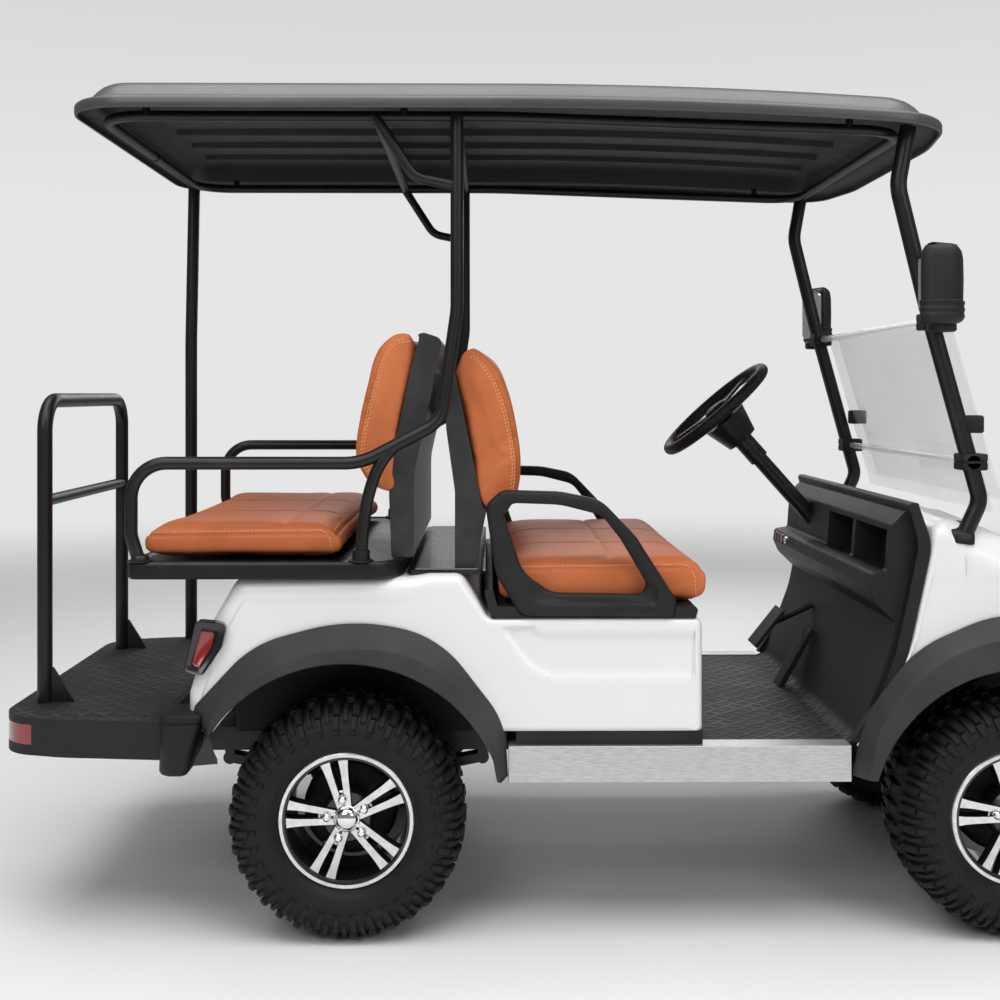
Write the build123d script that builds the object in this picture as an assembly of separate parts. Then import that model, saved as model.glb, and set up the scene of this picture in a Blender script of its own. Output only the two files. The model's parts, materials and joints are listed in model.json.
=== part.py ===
"""Four-seat electric golf cart, lifted, on off-road tyres, with a rear-facing second row.

Millimetres.  While the pieces are made, X runs forward from the rear axle, Y to the cart's
left and Z up from the ground.  The finished pieces are then moved so that the origin lies on
the ground under the middle of the cart.  Points in side-view tables are (x, z), points in plan
tables are (x, y), and each left-hand piece is the mirror image of the right-hand one.
"""
import os
from math import atan2, cos, degrees, hypot, radians, tan

from build123d import *

# ---- Layout --------------------------------------------------------------------------------
WHEELBASE = 1640.0
TRACK = 950.0                # between the tyres' middle planes
REAR_OVERHANG = 870.0        # rear axle back to the foot platform's edge
FRONT_OVERHANG = 430.0       # front axle forward to the bumper's face
TYRE_D = 584.0
TYRE_W = 240.0
FLOOR_Z = 471.0              # top of the floor
BODY_HALF = 555.0            # half width over the painted panels
PANEL_T = 6.0                # wall of every moulded panel
SEAT_GAP = 0.3               # between a soft pad and what it rests on
RUNNING_GAP = 0.1            # round a shaft in its bearing
MOVING_GAP = 6.0             # between a moving piece and its neighbour

AXLE_Z = TYRE_D / 2
FRONT_X = WHEELBASE
WHEEL_Y = TRACK / 2
ORIGIN_X = (WHEELBASE + FRONT_OVERHANG - REAR_OVERHANG) / 2

# ---- Wheels --------------------------------------------------------------------------------
RIM_W = 178.0
RIM_SEAT_R = 152.4
RIM_FLANGE_R = 167.0
RIM_WALL = 7.0
SPOKE_FACE_Y = 82.0          # spokes' outer face, from the wheel's middle plane
SPOKE_T = 26.0
SPOKES = 5
HUB_R = 44.0
HUB_CAP_R = 30.0
HUB_CAP_H = 14.0
DRUM_R = 118.0
DRUM_WALL = 12.0
DRUM_BACK_Y = -72.0
DRUM_L = 55.0
SPINDLE_R = 20.0
SPINDLE_TIP_Y = 40.0
PLATE_R = 110.0              # brake backing plate
PLATE_T = 7.0
PLATE_Y = DRUM_BACK_Y - MOVING_GAP - PLATE_T

# ---- Chassis -------------------------------------------------------------------------------
RAIL_Y = 300.0
RAIL_W = 50.0
RAIL_H = 60.0
FLOOR_T = 12.0
HORN_Y = 170.0               # front rails, narrow enough for the steered tyres
RAIL_TOP = FLOOR_Z - FLOOR_T
RAIL_LOW = RAIL_TOP - RAIL_H

# ---- Steering ------------------------------------------------------------------------------
KINGPIN_IN = 115.0           # kingpin, inboard of the tyre's middle plane
KINGPIN_Y = WHEEL_Y - KINGPIN_IN
KNUCKLE_R = 20.0
KNUCKLE_H = 120.0
EAR_T = 20.0
STEER_ARM = 100.0
STEER_ARM_T = 12.0
ROD_R = 10.0
ROD_DROP = 18.0              # rod's centre, under the steering arm
STEER_Y = 265.0
STEER_HUB = (FRONT_X - 594.0, 1282.0)
COLUMN_FOOT = (FRONT_X - 288.0, 938.0)
STEER_WHEEL_R = 190.0
STEER_GRIP_R = 14.0

# ---- Seats ---------------------------------------------------------------------------------
CUSHION_IN = 40.0            # cushions' ends, in from the body's sides
CUSHION_HALF = BODY_HALF - CUSHION_IN
BACK_IN = 65.0
BACK_HALF = BODY_HALF - BACK_IN
BACK_SPLIT = 16.0            # gap between the two back pads of a row
DECK_TOP = 810.0             # black deck under the front cushion
CUSHION_T = 112.0
FRONT_CUSHION_X = (374.0, 884.0)
REAR_CUSHION_X = (-503.0, -12.0)
REAR_CUSHION_T = 84.0
PAN_X = (-531.0, 137.0)
PAN_PROUD = 20.0             # rear seat's pan, past the body's sides
PAN_HALF = BODY_HALF + PAN_PROUD
PAN_TOP = 922.0
PAN_T = 42.0
PAN_WALL = 4.0
SHELL_T = 24.0

# ---- Posts and rails -----------------------------------------------------------------------
TUBE_R = 16.0
PILLAR_R = 20.0
POST_Y = PAN_HALF - PAN_PROUD
PILLAR_IN = 25.0
PILLAR_Y = BODY_HALF - PILLAR_IN
REAR_POST_IN = 35.0
REAR_POST_Y = BODY_HALF - REAR_POST_IN
REAR_POST_R = 19.0
BODY_TOP_REAR = PAN_TOP - PAN_T
BODY_PEAK = 888.0
BODY_TOP_FRONT = 782.0
BODY_LOW = 508.0
BODY_FRONT_X = 868.0

# ---- Roof ----------------------------------------------------------------------------------
ROOF_HALF = 636.0
ROOF_REAR_X = -675.0
ROOF_FRONT_X = FRONT_X - 134.0
ROOF_EDGE_Z = 2007.0
ROOF_EDGE_H = 30.0
ROOF_CROWN = 53.0            # crown above the rim's upper edge
ROOF_SLOPE = 76.0            # rim's edge in to the crown's edge
ROOF_T = 7.0
ROOF_BEND_X = 373.0          # ahead of this the roof dips towards its front edge
ROOF_DIP_R = 14263.0
FRAME_TUBE_R = 13.0
FRAME_IN = 86.0              # roof frame's tube, in from the roof's edge
FRAME_Y = ROOF_HALF - FRAME_IN
POST_TOP_Y = FRAME_Y + 5.0   # upper ends of the posts and pillars, at the frame
PILLAR_TOP_Y = FRAME_Y - 20.0
REAR_POST_TOP_Y = FRAME_Y - 30.0
FRAME_Z = ROOF_EDGE_Z - 3.0

# ---- Rear platform -------------------------------------------------------------------------
PLATFORM_TOP = 531.0
PLATFORM_SKIRT = 94.0
PLATFORM_FRONT_X = -452.0
PLATFORM_T = 5.0
GRAB_X = -803.0
GRAB_HALF = 346.0
GRAB_TOP = 1311.0
GRAB_R = 19.0
GUSSET_X = 78.0              # gussets at the hoop's feet, forward from its middle
MAT_T = 2.0                  # raised tread mat between the hoop and the body
MAT_GAP = 12.0


# ---- Shapes used by many pieces ------------------------------------------------------------
def outline(rows):
    """Closed outline from rows of (a, b, corner radius); a bend never uses up its two runs."""
    corners = [Vector(a, b) for a, b, _ in rows]
    spans = []
    for i, (_, _, radius) in enumerate(rows):
        if not radius:
            spans.append((corners[i],))
            continue
        before = corners[i - 1] - corners[i]
        after = corners[(i + 1) % len(rows)] - corners[i]
        half_turn = radians(180 - before.get_angle(after)) / 2
        reach = min(radius * tan(half_turn), 0.48 * before.length, 0.48 * after.length)
        sagitta = reach / tan(half_turn) * (1 / cos(half_turn) - 1)
        inward = (before.normalized() + after.normalized()).normalized()
        spans.append((corners[i] + before.normalized() * reach, corners[i] + inward * sagitta,
                      corners[i] + after.normalized() * reach))
    edges = []
    for i, span in enumerate(spans):
        if len(span) == 3:
            edges.append(ThreePointArc(*span))
        edges.append(Line(span[-1], spans[(i + 1) % len(spans)][0]))
    return make_face(edges)


def side_slab(face, y0, y1):
    """A face drawn as (x, z), made solid from y0 to y1."""
    return extrude(Plane.XZ.offset(-y0) * face, amount=y0 - y1)


def plan_slab(face, z0, z1):
    """A face drawn as (x, y), made solid from z0 to z1."""
    return extrude(Plane.XY.offset(z0) * face, amount=z1 - z0)


def from_front_axle(rows):
    """Rows whose first number is a distance ahead of the front axle, set in place."""
    return [(FRONT_X + x, *rest) for x, *rest in rows]


def block(x, y, z):
    """A box from three (low, high) pairs."""
    size = [high - low for low, high in (x, y, z)]
    return Pos(*[(low + high) / 2 for low, high in (x, y, z)]) * Box(*size)


def rod(start, end, radius):
    """A round bar between two points."""
    line = Line(start, end)
    return extrude(Plane(origin=start, z_dir=line % 0) * Circle(radius), amount=line.length)


def bent_tube(points, radius, bends):
    """A round tube along straight runs joined by bends, closed at its ends."""
    path = FilletPolyline(*points, radius=bends)
    return sweep(Plane(origin=path @ 0, z_dir=path % 0) * Circle(radius), path=path)


def both(piece):
    """The right-hand piece and its mirror image."""
    return [piece, mirror(piece, about=Plane.XZ)]


def lathe(rows):
    """A ring or disc turned about the Y axis from rows of (radius, y)."""
    return revolve(make_face(Polyline(*rows, close=True)), axis=Axis.Y)


# ---- Wheels --------------------------------------------------------------------------------
def tyre():
    """Off-road tyre about the Y axis: a rounded carcass out to the tread's tips."""
    crown = TYRE_D / 2
    half = TYRE_W / 2
    rows = [
        (RIM_SEAT_R, -RIM_W / 2 + 6, 0), (RIM_FLANGE_R, -RIM_W / 2 + 6, 0),
        (RIM_FLANGE_R + 10, -half + 12, 12), (crown - 62, -half, 30), (crown - 18, -half + 10, 14),
        (crown, -half + 32, 12), (crown, half - 32, 12), (crown - 18, half - 10, 14),
        (crown - 62, half, 30), (RIM_FLANGE_R + 10, half - 12, 12),
        (RIM_FLANGE_R, RIM_W / 2 - 6, 0), (RIM_SEAT_R, RIM_W / 2 - 6, 0),
    ]
    return revolve(outline(rows), axis=Axis.Y)


def rim():
    """Alloy wheel about the Y axis, outer face at +Y, with the brake drum behind its spokes."""
    edge = RIM_W / 2
    seat = RIM_SEAT_R
    well = RIM_SEAT_R - RIM_WALL
    barrel = lathe([
        (seat, -edge + 6), (RIM_FLANGE_R, -edge + 6), (RIM_FLANGE_R, -edge), (well, -edge),
        (well, edge), (RIM_FLANGE_R, edge), (RIM_FLANGE_R, edge - 6), (seat, edge - 6),
    ])
    back = SPOKE_FACE_Y - SPOKE_T
    disc = lathe([
        (0, back - 6), (HUB_R, back - 6), (well + 1, back), (well + 1, SPOKE_FACE_Y),
        (HUB_R, SPOKE_FACE_Y - 12), (0, SPOKE_FACE_Y - 12),
    ])
    wide = outline([(58, -14, 6), (well - 4, -40, 10), (well - 4, 40, 10), (58, 14, 6)])
    slim = outline([(66, -4, 3), (well - 6, -10, 6), (well - 6, 10, 6), (66, 4, 3)])
    for i in range(SPOKES):
        for face, turn in ((wide, 36.0), (slim, 0.0)):
            window = side_slab(face, back - 20, SPOKE_FACE_Y + 20)
            disc -= Rot(0, i * 360 / SPOKES + turn, 0) * window
    drum_front = DRUM_BACK_Y + DRUM_L
    hub = lathe([(0, drum_front - 10), (HUB_R, drum_front - 10), (HUB_R, back), (0, back)])
    drum = lathe([
        (DRUM_R - DRUM_WALL, DRUM_BACK_Y), (DRUM_R, DRUM_BACK_Y), (DRUM_R, drum_front),
        (0, drum_front), (0, drum_front - 10), (DRUM_R - DRUM_WALL, drum_front - 10),
    ])
    cap_y = SPOKE_FACE_Y - 12
    cap = lathe([(0, cap_y), (HUB_CAP_R, cap_y), (HUB_CAP_R - 6, cap_y + HUB_CAP_H),
                 (0, cap_y + HUB_CAP_H + 4)])
    sleeve = lathe([(0, DRUM_BACK_Y), (HUB_R - 10, DRUM_BACK_Y), (HUB_R - 10, drum_front),
                    (0, drum_front)])
    bore_r = SPINDLE_R + RUNNING_GAP
    bore = lathe([(0, DRUM_BACK_Y - 1), (bore_r, DRUM_BACK_Y - 1),
                  (bore_r, SPINDLE_TIP_Y + MOVING_GAP), (0, SPINDLE_TIP_Y + MOVING_GAP)])
    return barrel + disc + hub + drum + cap + sleeve - bore


def wheel_place(x, side):
    """Where a wheel drawn about its own middle goes; side is -1 right, +1 left."""
    turn = 0 if side > 0 else 180
    return Pos(x, side * WHEEL_Y, AXLE_Z) * Rot(0, 0, turn)


# ---- Chassis and running gear --------------------------------------------------------------
def spindle(root_y):
    """Wheel spindle with its brake backing plate, about Y, from root_y outwards."""
    shaft = lathe([(0, root_y), (SPINDLE_R, root_y), (SPINDLE_R, SPINDLE_TIP_Y),
                   (0, SPINDLE_TIP_Y)])
    plate = lathe([(0, PLATE_Y), (PLATE_R, PLATE_Y), (PLATE_R, PLATE_Y + PLATE_T),
                   (0, PLATE_Y + PLATE_T)])
    return shaft + plate


CROSS_W = 50.0
SHOCK_R = 22.0
FRONT_SHOCK_TOP = (215.0, 552.0)
SILL_X = (394.0, FRONT_X - 412.0)
SILL_LOW = 386.0
SILL_WALL = 4.0
BUMPER_BACK_X = FRONT_X + FRONT_OVERHANG - 110


def chassis_frame():
    """Two box rails, narrower in front, with cross members, outriggers and shock towers."""
    z = (RAIL_LOW, RAIL_TOP)
    rail_x = (-REAR_OVERHANG + 60, FRONT_X - 360)
    horn_x = (rail_x[1] - CROSS_W, BUMPER_BACK_X)
    frame = block((rail_x[1] - CROSS_W, rail_x[1]), (-RAIL_Y, RAIL_Y), z)
    for side in (-1, 1):
        y = side * RAIL_Y
        frame += block(rail_x, (y - RAIL_W / 2, y + RAIL_W / 2), z)
        y = side * HORN_Y
        frame += block(horn_x, (y - RAIL_W / 2, y + RAIL_W / 2), z)
    for x in (rail_x[0], -380.0, 330.0, 840.0):
        frame += block((x, x + CROSS_W), (-RAIL_Y, RAIL_Y), z)
    frame += block((horn_x[1] - CROSS_W, horn_x[1]), (-HORN_Y, HORN_Y), z)
    reach = BODY_HALF + 15 - SILL_WALL
    for x in (SILL_X[0] + 26, (SILL_X[0] + SILL_X[1]) / 2 + 9, SILL_X[1] - 48):
        frame += block((x, x + 40), (-reach, reach), (RAIL_TOP - 40, RAIL_TOP))
    for x in (rail_x[0], -560.0):
        for side in (-1, 1):
            y = side * RAIL_Y
            frame += block((x, x + CROSS_W), (y - 20, y + 20), (RAIL_TOP, PLATFORM_TOP - PLATFORM_T))
    top_y, top_z = FRONT_SHOCK_TOP
    for side in (-1, 1):
        inner = side * (HORN_Y + RAIL_W / 2 - 12)
        outer = side * (top_y + 25)
        low, high = sorted((inner, outer))
        frame += block((FRONT_X - 25, FRONT_X + 25), (low, high), (top_z, top_z + 14))
        low, high = sorted((inner, inner + side * 12))
        frame += block((FRONT_X - 25, FRONT_X + 25), (low, high), (RAIL_TOP - 5, top_z + 14))
    return frame


AXLE_R = 38.0
GEARCASE_R = 95.0
MOTOR_X = 140.0
MOTOR_Z = 300.0
MOTOR_R = 86.0
MOTOR_Y = (62.0, 262.0)
AXLE_END_Y = WHEEL_Y + PLATE_Y


def rear_axle():
    """Axle tube with its gear case, a spindle and backing plate at each end."""
    axle = rod((0, -AXLE_END_Y, AXLE_Z), (0, AXLE_END_Y, AXLE_Z), AXLE_R)
    axle += rod((0, -75, AXLE_Z), (0, MOTOR_Y[0], AXLE_Z), GEARCASE_R)
    axle += rod((MOTOR_X, -60, MOTOR_Z), (MOTOR_X, MOTOR_Y[0], MOTOR_Z), GEARCASE_R - 25)
    axle += block((0, MOTOR_X), (-60, MOTOR_Y[0]), (AXLE_Z - 70, AXLE_Z + 70))
    for side in (-1, 1):
        axle += wheel_place(0, side) * spindle(PLATE_Y - 10)
    return axle


def drive_motor():
    """The electric motor, one plain cylinder against the gear case."""
    return rod((MOTOR_X, MOTOR_Y[0], MOTOR_Z), (MOTOR_X, MOTOR_Y[1], MOTOR_Z), MOTOR_R)


BATTERY_X = (400.0, 830.0)
BATTERY_HALF = 300.0
BATTERY_H = 260.0


def battery_pack():
    """The battery, one plain block on the rails under the front seat."""
    return block(BATTERY_X, (-BATTERY_HALF, BATTERY_HALF), (FLOOR_Z, FLOOR_Z + BATTERY_H))


LEAF_HALF = 330.0
LEAF_W = 44.0
LEAF_T = 24.0
LEAF_EYE_R = 17.0
LEAF_SAG = 34.0


def rear_suspension():
    """Leaf springs over the axle with hangers to the rails, and a damper beside each."""
    seat = AXLE_Z + AXLE_R
    end_z = RAIL_LOW - LEAF_EYE_R - 4
    mid = seat + LEAF_T / 2
    half = LEAF_T / 2
    upper = ThreePointArc((-LEAF_HALF, end_z + half), (0, mid + half), (LEAF_HALF, end_z + half))
    lower = ThreePointArc((LEAF_HALF, end_z - half), (0, mid - half), (-LEAF_HALF, end_z - half))
    leaf = make_face(upper + Line(upper @ 1, lower @ 0) + lower + Line(lower @ 1, upper @ 0))
    y = (-RAIL_Y - LEAF_W / 2, -RAIL_Y + LEAF_W / 2)
    spring = side_slab(leaf, *y)
    for x in (-LEAF_HALF, LEAF_HALF):
        spring += rod((x, y[0], end_z), (x, y[1], end_z), LEAF_EYE_R)
        spring += block((x - 12, x + 12), y, (end_z, RAIL_LOW))
    damper_y = -RAIL_Y + RAIL_W / 2 + SHOCK_R
    foot = (-60.0, damper_y, AXLE_Z + AXLE_R - 8)
    head = (-60.0, damper_y, RAIL_TOP + 30)
    spring += rod(foot, head, SHOCK_R)
    return both(spring)


ARM_T = 16.0
SUB_HALF = 140.0
YOKE_IN = (-62.0, -46.0)     # yoke's web, from the kingpin
ARM_HALF_X = 24.0


def front_suspension():
    """Cross member, upper and lower arms, kingpin yokes and dampers."""
    low = AXLE_Z - KNUCKLE_H / 2 - EAR_T
    high = AXLE_Z + KNUCKLE_H / 2 + EAR_T
    member = block((FRONT_X - 45, FRONT_X + 45), (-SUB_HALF, SUB_HALF), (low, RAIL_LOW))
    window = block((FRONT_X - 50, FRONT_X + 50), (-SUB_HALF + 25, SUB_HALF - 25),
                   (low + 25, RAIL_LOW - 25))
    member -= window
    for side in (-1, 1):
        web = sorted((side * (KINGPIN_Y + YOKE_IN[0]), side * (KINGPIN_Y + YOKE_IN[1])))
        x = (FRONT_X - ARM_HALF_X, FRONT_X + ARM_HALF_X)
        member += block(x, web, (low, high))
        pin = side * KINGPIN_Y
        for z0, z1 in ((low, low + EAR_T - RUNNING_GAP), (high - EAR_T + RUNNING_GAP, high)):
            ear = Pos(FRONT_X, pin, (z0 + z1) / 2) * Cylinder(KNUCKLE_R + 2, z1 - z0)
            inboard = sorted((pin, side * (KINGPIN_Y + YOKE_IN[1])))
            member += ear + block((FRONT_X - 20, FRONT_X + 20), inboard, (z0, z1))
        tip = side * (KINGPIN_Y + YOKE_IN[1])
        root = side * (SUB_HALF - 5)
        wedge = make_face(Polyline((FRONT_X - 24, tip), (FRONT_X + 24, tip),
                                   (FRONT_X + 105, root), (FRONT_X - 105, root), close=True))
        hole = make_face(Polyline((FRONT_X - 14, tip - side * 50), (FRONT_X + 14, tip - side * 50),
                                  (FRONT_X + 62, root + side * 24),
                                  (FRONT_X - 62, root + side * 24), close=True))
        member += plan_slab(wedge, low, low + ARM_T) - plan_slab(hole, low - 1, low + ARM_T + 1)
        member += block(x, sorted((tip, root)), (high - ARM_T, high))
        foot = (FRONT_X, side * 262.0, low + ARM_T - 4)
        head = (FRONT_X, side * FRONT_SHOCK_TOP[0], FRONT_SHOCK_TOP[1])
        member += rod(foot, head, SHOCK_R)
    return member


def knuckle(side):
    """Steering knuckle: kingpin barrel, spindle, backing plate and steering arm."""
    y = side * KINGPIN_Y
    half = KNUCKLE_H / 2 - RUNNING_GAP
    post = rod((FRONT_X, y, AXLE_Z - half), (FRONT_X, y, AXLE_Z + half), KNUCKLE_R)
    tip = side * (WHEEL_Y + SPINDLE_TIP_Y)
    plate = side * (WHEEL_Y + PLATE_Y)
    post += rod((FRONT_X, y, AXLE_Z), (FRONT_X, tip, AXLE_Z), SPINDLE_R - 0.02)
    post += rod((FRONT_X, plate, AXLE_Z), (FRONT_X, plate + side * PLATE_T, AXLE_Z), PLATE_R)
    arm = block((FRONT_X - STEER_ARM, FRONT_X), (y - 14, y + 14), (AXLE_Z - STEER_ARM_T, AXLE_Z))
    eye_x = FRONT_X - STEER_ARM
    arm += rod((eye_x, y, AXLE_Z - STEER_ARM_T), (eye_x, y, AXLE_Z), 14)
    return post + arm


RACK_X = FRONT_X - STEER_ARM
RACK_Z = AXLE_Z - STEER_ARM_T - ROD_DROP
RACK_HALF = 130.0
RACK_TUBE_R = 24.0


def tie_rod():
    """The sliding rack bar with its two tie-rod ends under the steering arms."""
    bar = rod((RACK_X, -KINGPIN_Y, RACK_Z), (RACK_X, KINGPIN_Y, RACK_Z), ROD_R)
    for side in (-1, 1):
        bar += Pos(RACK_X, side * KINGPIN_Y, RACK_Z) * Cylinder(15, 2 * ROD_R + 4)
    return bar


def column_point(along):
    """A point on the steering column's axis, measured down from the wheel's hub."""
    run = (COLUMN_FOOT[0] - STEER_HUB[0], COLUMN_FOOT[1] - STEER_HUB[1])
    length = hypot(*run)
    return (STEER_HUB[0] + run[0] * along / length, STEER_Y, STEER_HUB[1] + run[1] * along / length)


COLUMN_TILT = degrees(atan2(COLUMN_FOOT[0] - STEER_HUB[0], STEER_HUB[1] - COLUMN_FOOT[1]))
COLUMN_R = 24.0
SHROUD_TOP = 40.0 + SEAT_GAP  # under the wheel's hub, along the column
SHROUD_R = (72.0, 50.0)      # shroud's cone, top and foot
SHROUD_L = 84.0
COLLAR_R = 30.0
COLLAR_L = 80.0
SHAFT_R = 11.0


def steering_column():
    """Column tube with its shroud, the lower shaft and the rack's housing."""
    column = rod(column_point(SHROUD_TOP), column_point(460), COLUMN_R)
    middle = column_point(SHROUD_TOP + SHROUD_L / 2)
    column += Pos(*middle) * Rot(0, -COLUMN_TILT, 0) * Cone(SHROUD_R[1], SHROUD_R[0], SHROUD_L)
    collar = SHROUD_TOP + SHROUD_L
    column += rod(column_point(collar), column_point(collar + COLLAR_L), COLLAR_R)
    knee = column_point(455)
    gear = (RACK_X, 100.0, RACK_Z + RACK_TUBE_R - 4)
    column += rod(knee, gear, SHAFT_R)
    housing = rod((RACK_X, -RACK_HALF, RACK_Z), (RACK_X, RACK_HALF, RACK_Z), RACK_TUBE_R)
    housing += block((RACK_X, FRONT_X - 44), (-60, 60), (RACK_Z - 12, RACK_Z + 12))
    housing += block((RACK_X - 18, RACK_X + 18), (82, 118), (RACK_Z, RACK_Z + RACK_TUBE_R + 20))
    bar = rod((RACK_X, -RACK_HALF - 1, RACK_Z), (RACK_X, RACK_HALF + 1, RACK_Z),
              ROD_R + RUNNING_GAP)
    return column + housing - bar


def steering_wheel():
    """Rim, three spokes, hub and its cone, square to the column."""
    ring = Torus(STEER_WHEEL_R, STEER_GRIP_R)
    hub = Pos(0, 0, -8) * Cylinder(38, 34) + Pos(0, 0, -30) * Cone(24, 36, 20)
    wheel = ring + hub
    for turn in (0, 120, 240):
        spoke = Pos((STEER_WHEEL_R + 20) / 2, 0, -4) * Box(STEER_WHEEL_R - 20, 30, 8)
        wheel += Rot(0, 0, turn - 90) * spoke
    place = Pos(STEER_HUB[0], STEER_Y, STEER_HUB[1]) * Rot(0, -COLUMN_TILT, 0)
    return place * wheel


# ---- Floor, body and trim ------------------------------------------------------------------
KICK_ROWS = [                # footwell's wall, (x from the front axle, z, bend radius)
    (-390, FLOOR_Z, 40), (-306, 700, 300), (-268, 880, 0),
]
ARCH_R = 388.0               # wheel arches, about each axle
FRONT_ARCH_R = 372.0
REAR_WELL_Y = WHEEL_Y - TYRE_W / 2 - 17


FLOOR_REAR_X = 392.0
TRIM_WALL = 26.0


def floor_pan():
    """Floor plate under seats and feet, turned up in front as the footwell's wall."""
    foot, bend, top = from_front_axle(KICK_ROWS)
    t = FLOOR_T
    face = outline([
        (FLOOR_REAR_X, FLOOR_Z - t, 1), (foot[0] + 9, FLOOR_Z - t, 40 + t), (bend[0] + t, bend[1], 300),
        (top[0] + t, top[1], 1), (top[0], top[1], 1), (bend[0], bend[1], 300),
        (foot[0], FLOOR_Z, 40), (FLOOR_REAR_X, FLOOR_Z, 1),
    ])
    wide = BODY_HALF - TRIM_WALL
    floor = side_slab(face, -wide, wide)
    knee = column_point(455)
    gear = (RACK_X, 100.0, RACK_Z + RACK_TUBE_R - 4)
    return floor - rod(knee, gear, SHAFT_R + 3)


def side_sills():
    """Aluminium side steps: a channel on each side, open inwards."""
    y = (-BODY_HALF - 15, -BODY_HALF + 45)
    sill = block(SILL_X, y, (SILL_LOW, FLOOR_Z + 3))
    sill -= block((SILL_X[0] - 1, SILL_X[1] + 1), (y[0] + SILL_WALL, y[1] + 1),
                  (SILL_LOW + SILL_WALL, FLOOR_Z + 3 - SILL_WALL))
    return both(sill)


def rear_body():
    """Painted rear body: a hollow hood from the front seat back to the platform."""
    rows = [
        (-386, BODY_LOW, 1), (-386, 600, 60), (-330, 772, 60), (-268, BODY_TOP_REAR, 40),
        (150, BODY_TOP_REAR, 40), (200, BODY_PEAK, 60), (280, BODY_PEAK, 30),
        (345, BODY_TOP_FRONT, 20),
        (BODY_FRONT_X, BODY_TOP_FRONT, 14), (BODY_FRONT_X, BODY_LOW, 1),
    ]
    t = PANEL_T
    inner_rows = [
        (-386 + t, BODY_LOW - 1, 1), (-386 + t, 600, 60), (-330 + t, 772, 60),
        (-268 + t / 2, BODY_TOP_REAR - t, 40), (150, BODY_TOP_REAR - t, 40),
        (200, BODY_PEAK - t, 60), (280 - t / 2, BODY_PEAK - t, 30),
        (345 - t / 2, BODY_TOP_FRONT - t, 20),
        (BODY_FRONT_X - t, BODY_TOP_FRONT - t, 8), (BODY_FRONT_X - t, BODY_LOW - 1, 1),
    ]
    body = side_slab(outline(rows), -BODY_HALF, BODY_HALF)
    hollow = side_slab(outline(inner_rows), -BODY_HALF + t, BODY_HALF - t)
    for side in (-1, 1):
        well = sorted((side * (REAR_WELL_Y - t), side * BODY_HALF))
        hollow -= rod((0, well[0], AXLE_Z), (0, well[1], AXLE_Z), ARCH_R + t)
    body -= hollow
    for side in (-1, 1):
        well = sorted((side * REAR_WELL_Y, side * (BODY_HALF + 1)))
        body -= rod((0, well[0], AXLE_Z), (0, well[1], AXLE_Z), ARCH_R)
    return body



def body_skirt():
    """Black strip under the painted pod, between the rear arch and the floor's front."""
    x = (412.0, BODY_FRONT_X)
    z = (FLOOR_Z + 3, BODY_LOW)
    ring = block(x, (-BODY_HALF, BODY_HALF), z)
    return ring - block((x[0] - 1, x[1] - 12), (-BODY_HALF + 12, BODY_HALF - 12), (z[0] - 1, z[1] + 1))


REAR_FLARE = [               # outer edge in side view, (x from its axle, z, corner radius)
    (-300, 440, 0), (-372, 566, 10), (-228, 720, 260), (5, 782, 500), (222, 742, 260),
    (386, 530, 400), (394, 398, 8), (300, 398, 0),
]
FRONT_FLARE = [
    (-300, 398, 0), (-410, 398, 8), (-378, 540, 400), (-255, 706, 300), (0, 816, 500),
    (255, 706, 300), (378, 540, 400), (390, 430, 8), (300, 430, 0),
]
FLARE_PROUD = 57.0           # flares' outer face, past the body's sides
FLARE_OUT_Y = -BODY_HALF - FLARE_PROUD


def arch_flares():
    """Black flares over the four wheels, standing out from the panels."""
    flares = []
    for rows, axle_x, inner in ((REAR_FLARE, 0, ARCH_R + 2), (FRONT_FLARE, FRONT_X, FRONT_ARCH_R + 2)):
        band = side_slab(outline(rows), FLARE_OUT_Y, -BODY_HALF)
        band -= rod((0, FLARE_OUT_Y - 1, AXLE_Z), (0, -BODY_HALF + 1, AXLE_Z), inner)
        flares += both(Pos(axle_x, 0, 0) * band)
    return flares


COWL_ROWS = [                # front cowl in side view, (x from the front axle, z, corner radius)
    (-378, 480, 1), (-310, 582, 60), (-268, 696, 200), (-210, 960, 120), (-242, 1052, 24),
    (-111, 1029, 200), (80, 950, 300), (260, 830, 300), (370, 700, 120), (400, 560, 60),
    (385, 470, 10),
]
COWL_NOSE_R = 150.0
COWL_TOP_Z = 1060.0
COWL_SHOULDER_R = 110.0


def cowl_slab(inset):
    """The cowl's solid form: side view, rounded shoulders and a rounded nose, drawn in."""
    half = BODY_HALF - inset
    nose = FRONT_X + FRONT_OVERHANG - 18 - inset
    form = side_slab(outline(from_front_axle(COWL_ROWS)), -half, half)
    if inset:
        form = Pos(-inset, 0, -inset) * form + Pos(-60, 0, -20) * form
    front_view = outline([(-half, 300, 0), (half, 300, 0), (half, COWL_TOP_Z - inset, COWL_SHOULDER_R),
                          (-half, COWL_TOP_Z - inset, COWL_SHOULDER_R)])
    back = FRONT_X - 540
    form &= extrude(Plane.YZ.offset(back) * front_view, amount=nose - back)
    plan = outline([(back, -half, 0), (nose, -half, COWL_NOSE_R), (nose, half, COWL_NOSE_R),
                    (back, half, 0)])
    return form & plan_slab(plan, 300, 1300)


def front_cowl():
    """Painted front cowl: a hollow shell from the windscreen's foot to the nose."""
    t = PANEL_T
    hollow = cowl_slab(t)
    wide = BODY_HALF + 1
    hollow -= rod((FRONT_X, -wide, AXLE_Z), (FRONT_X, wide, AXLE_Z), FRONT_ARCH_R + t)
    shell = cowl_slab(0) - hollow
    return shell - rod((FRONT_X, -wide, AXLE_Z), (FRONT_X, wide, AXLE_Z), FRONT_ARCH_R)


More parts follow.
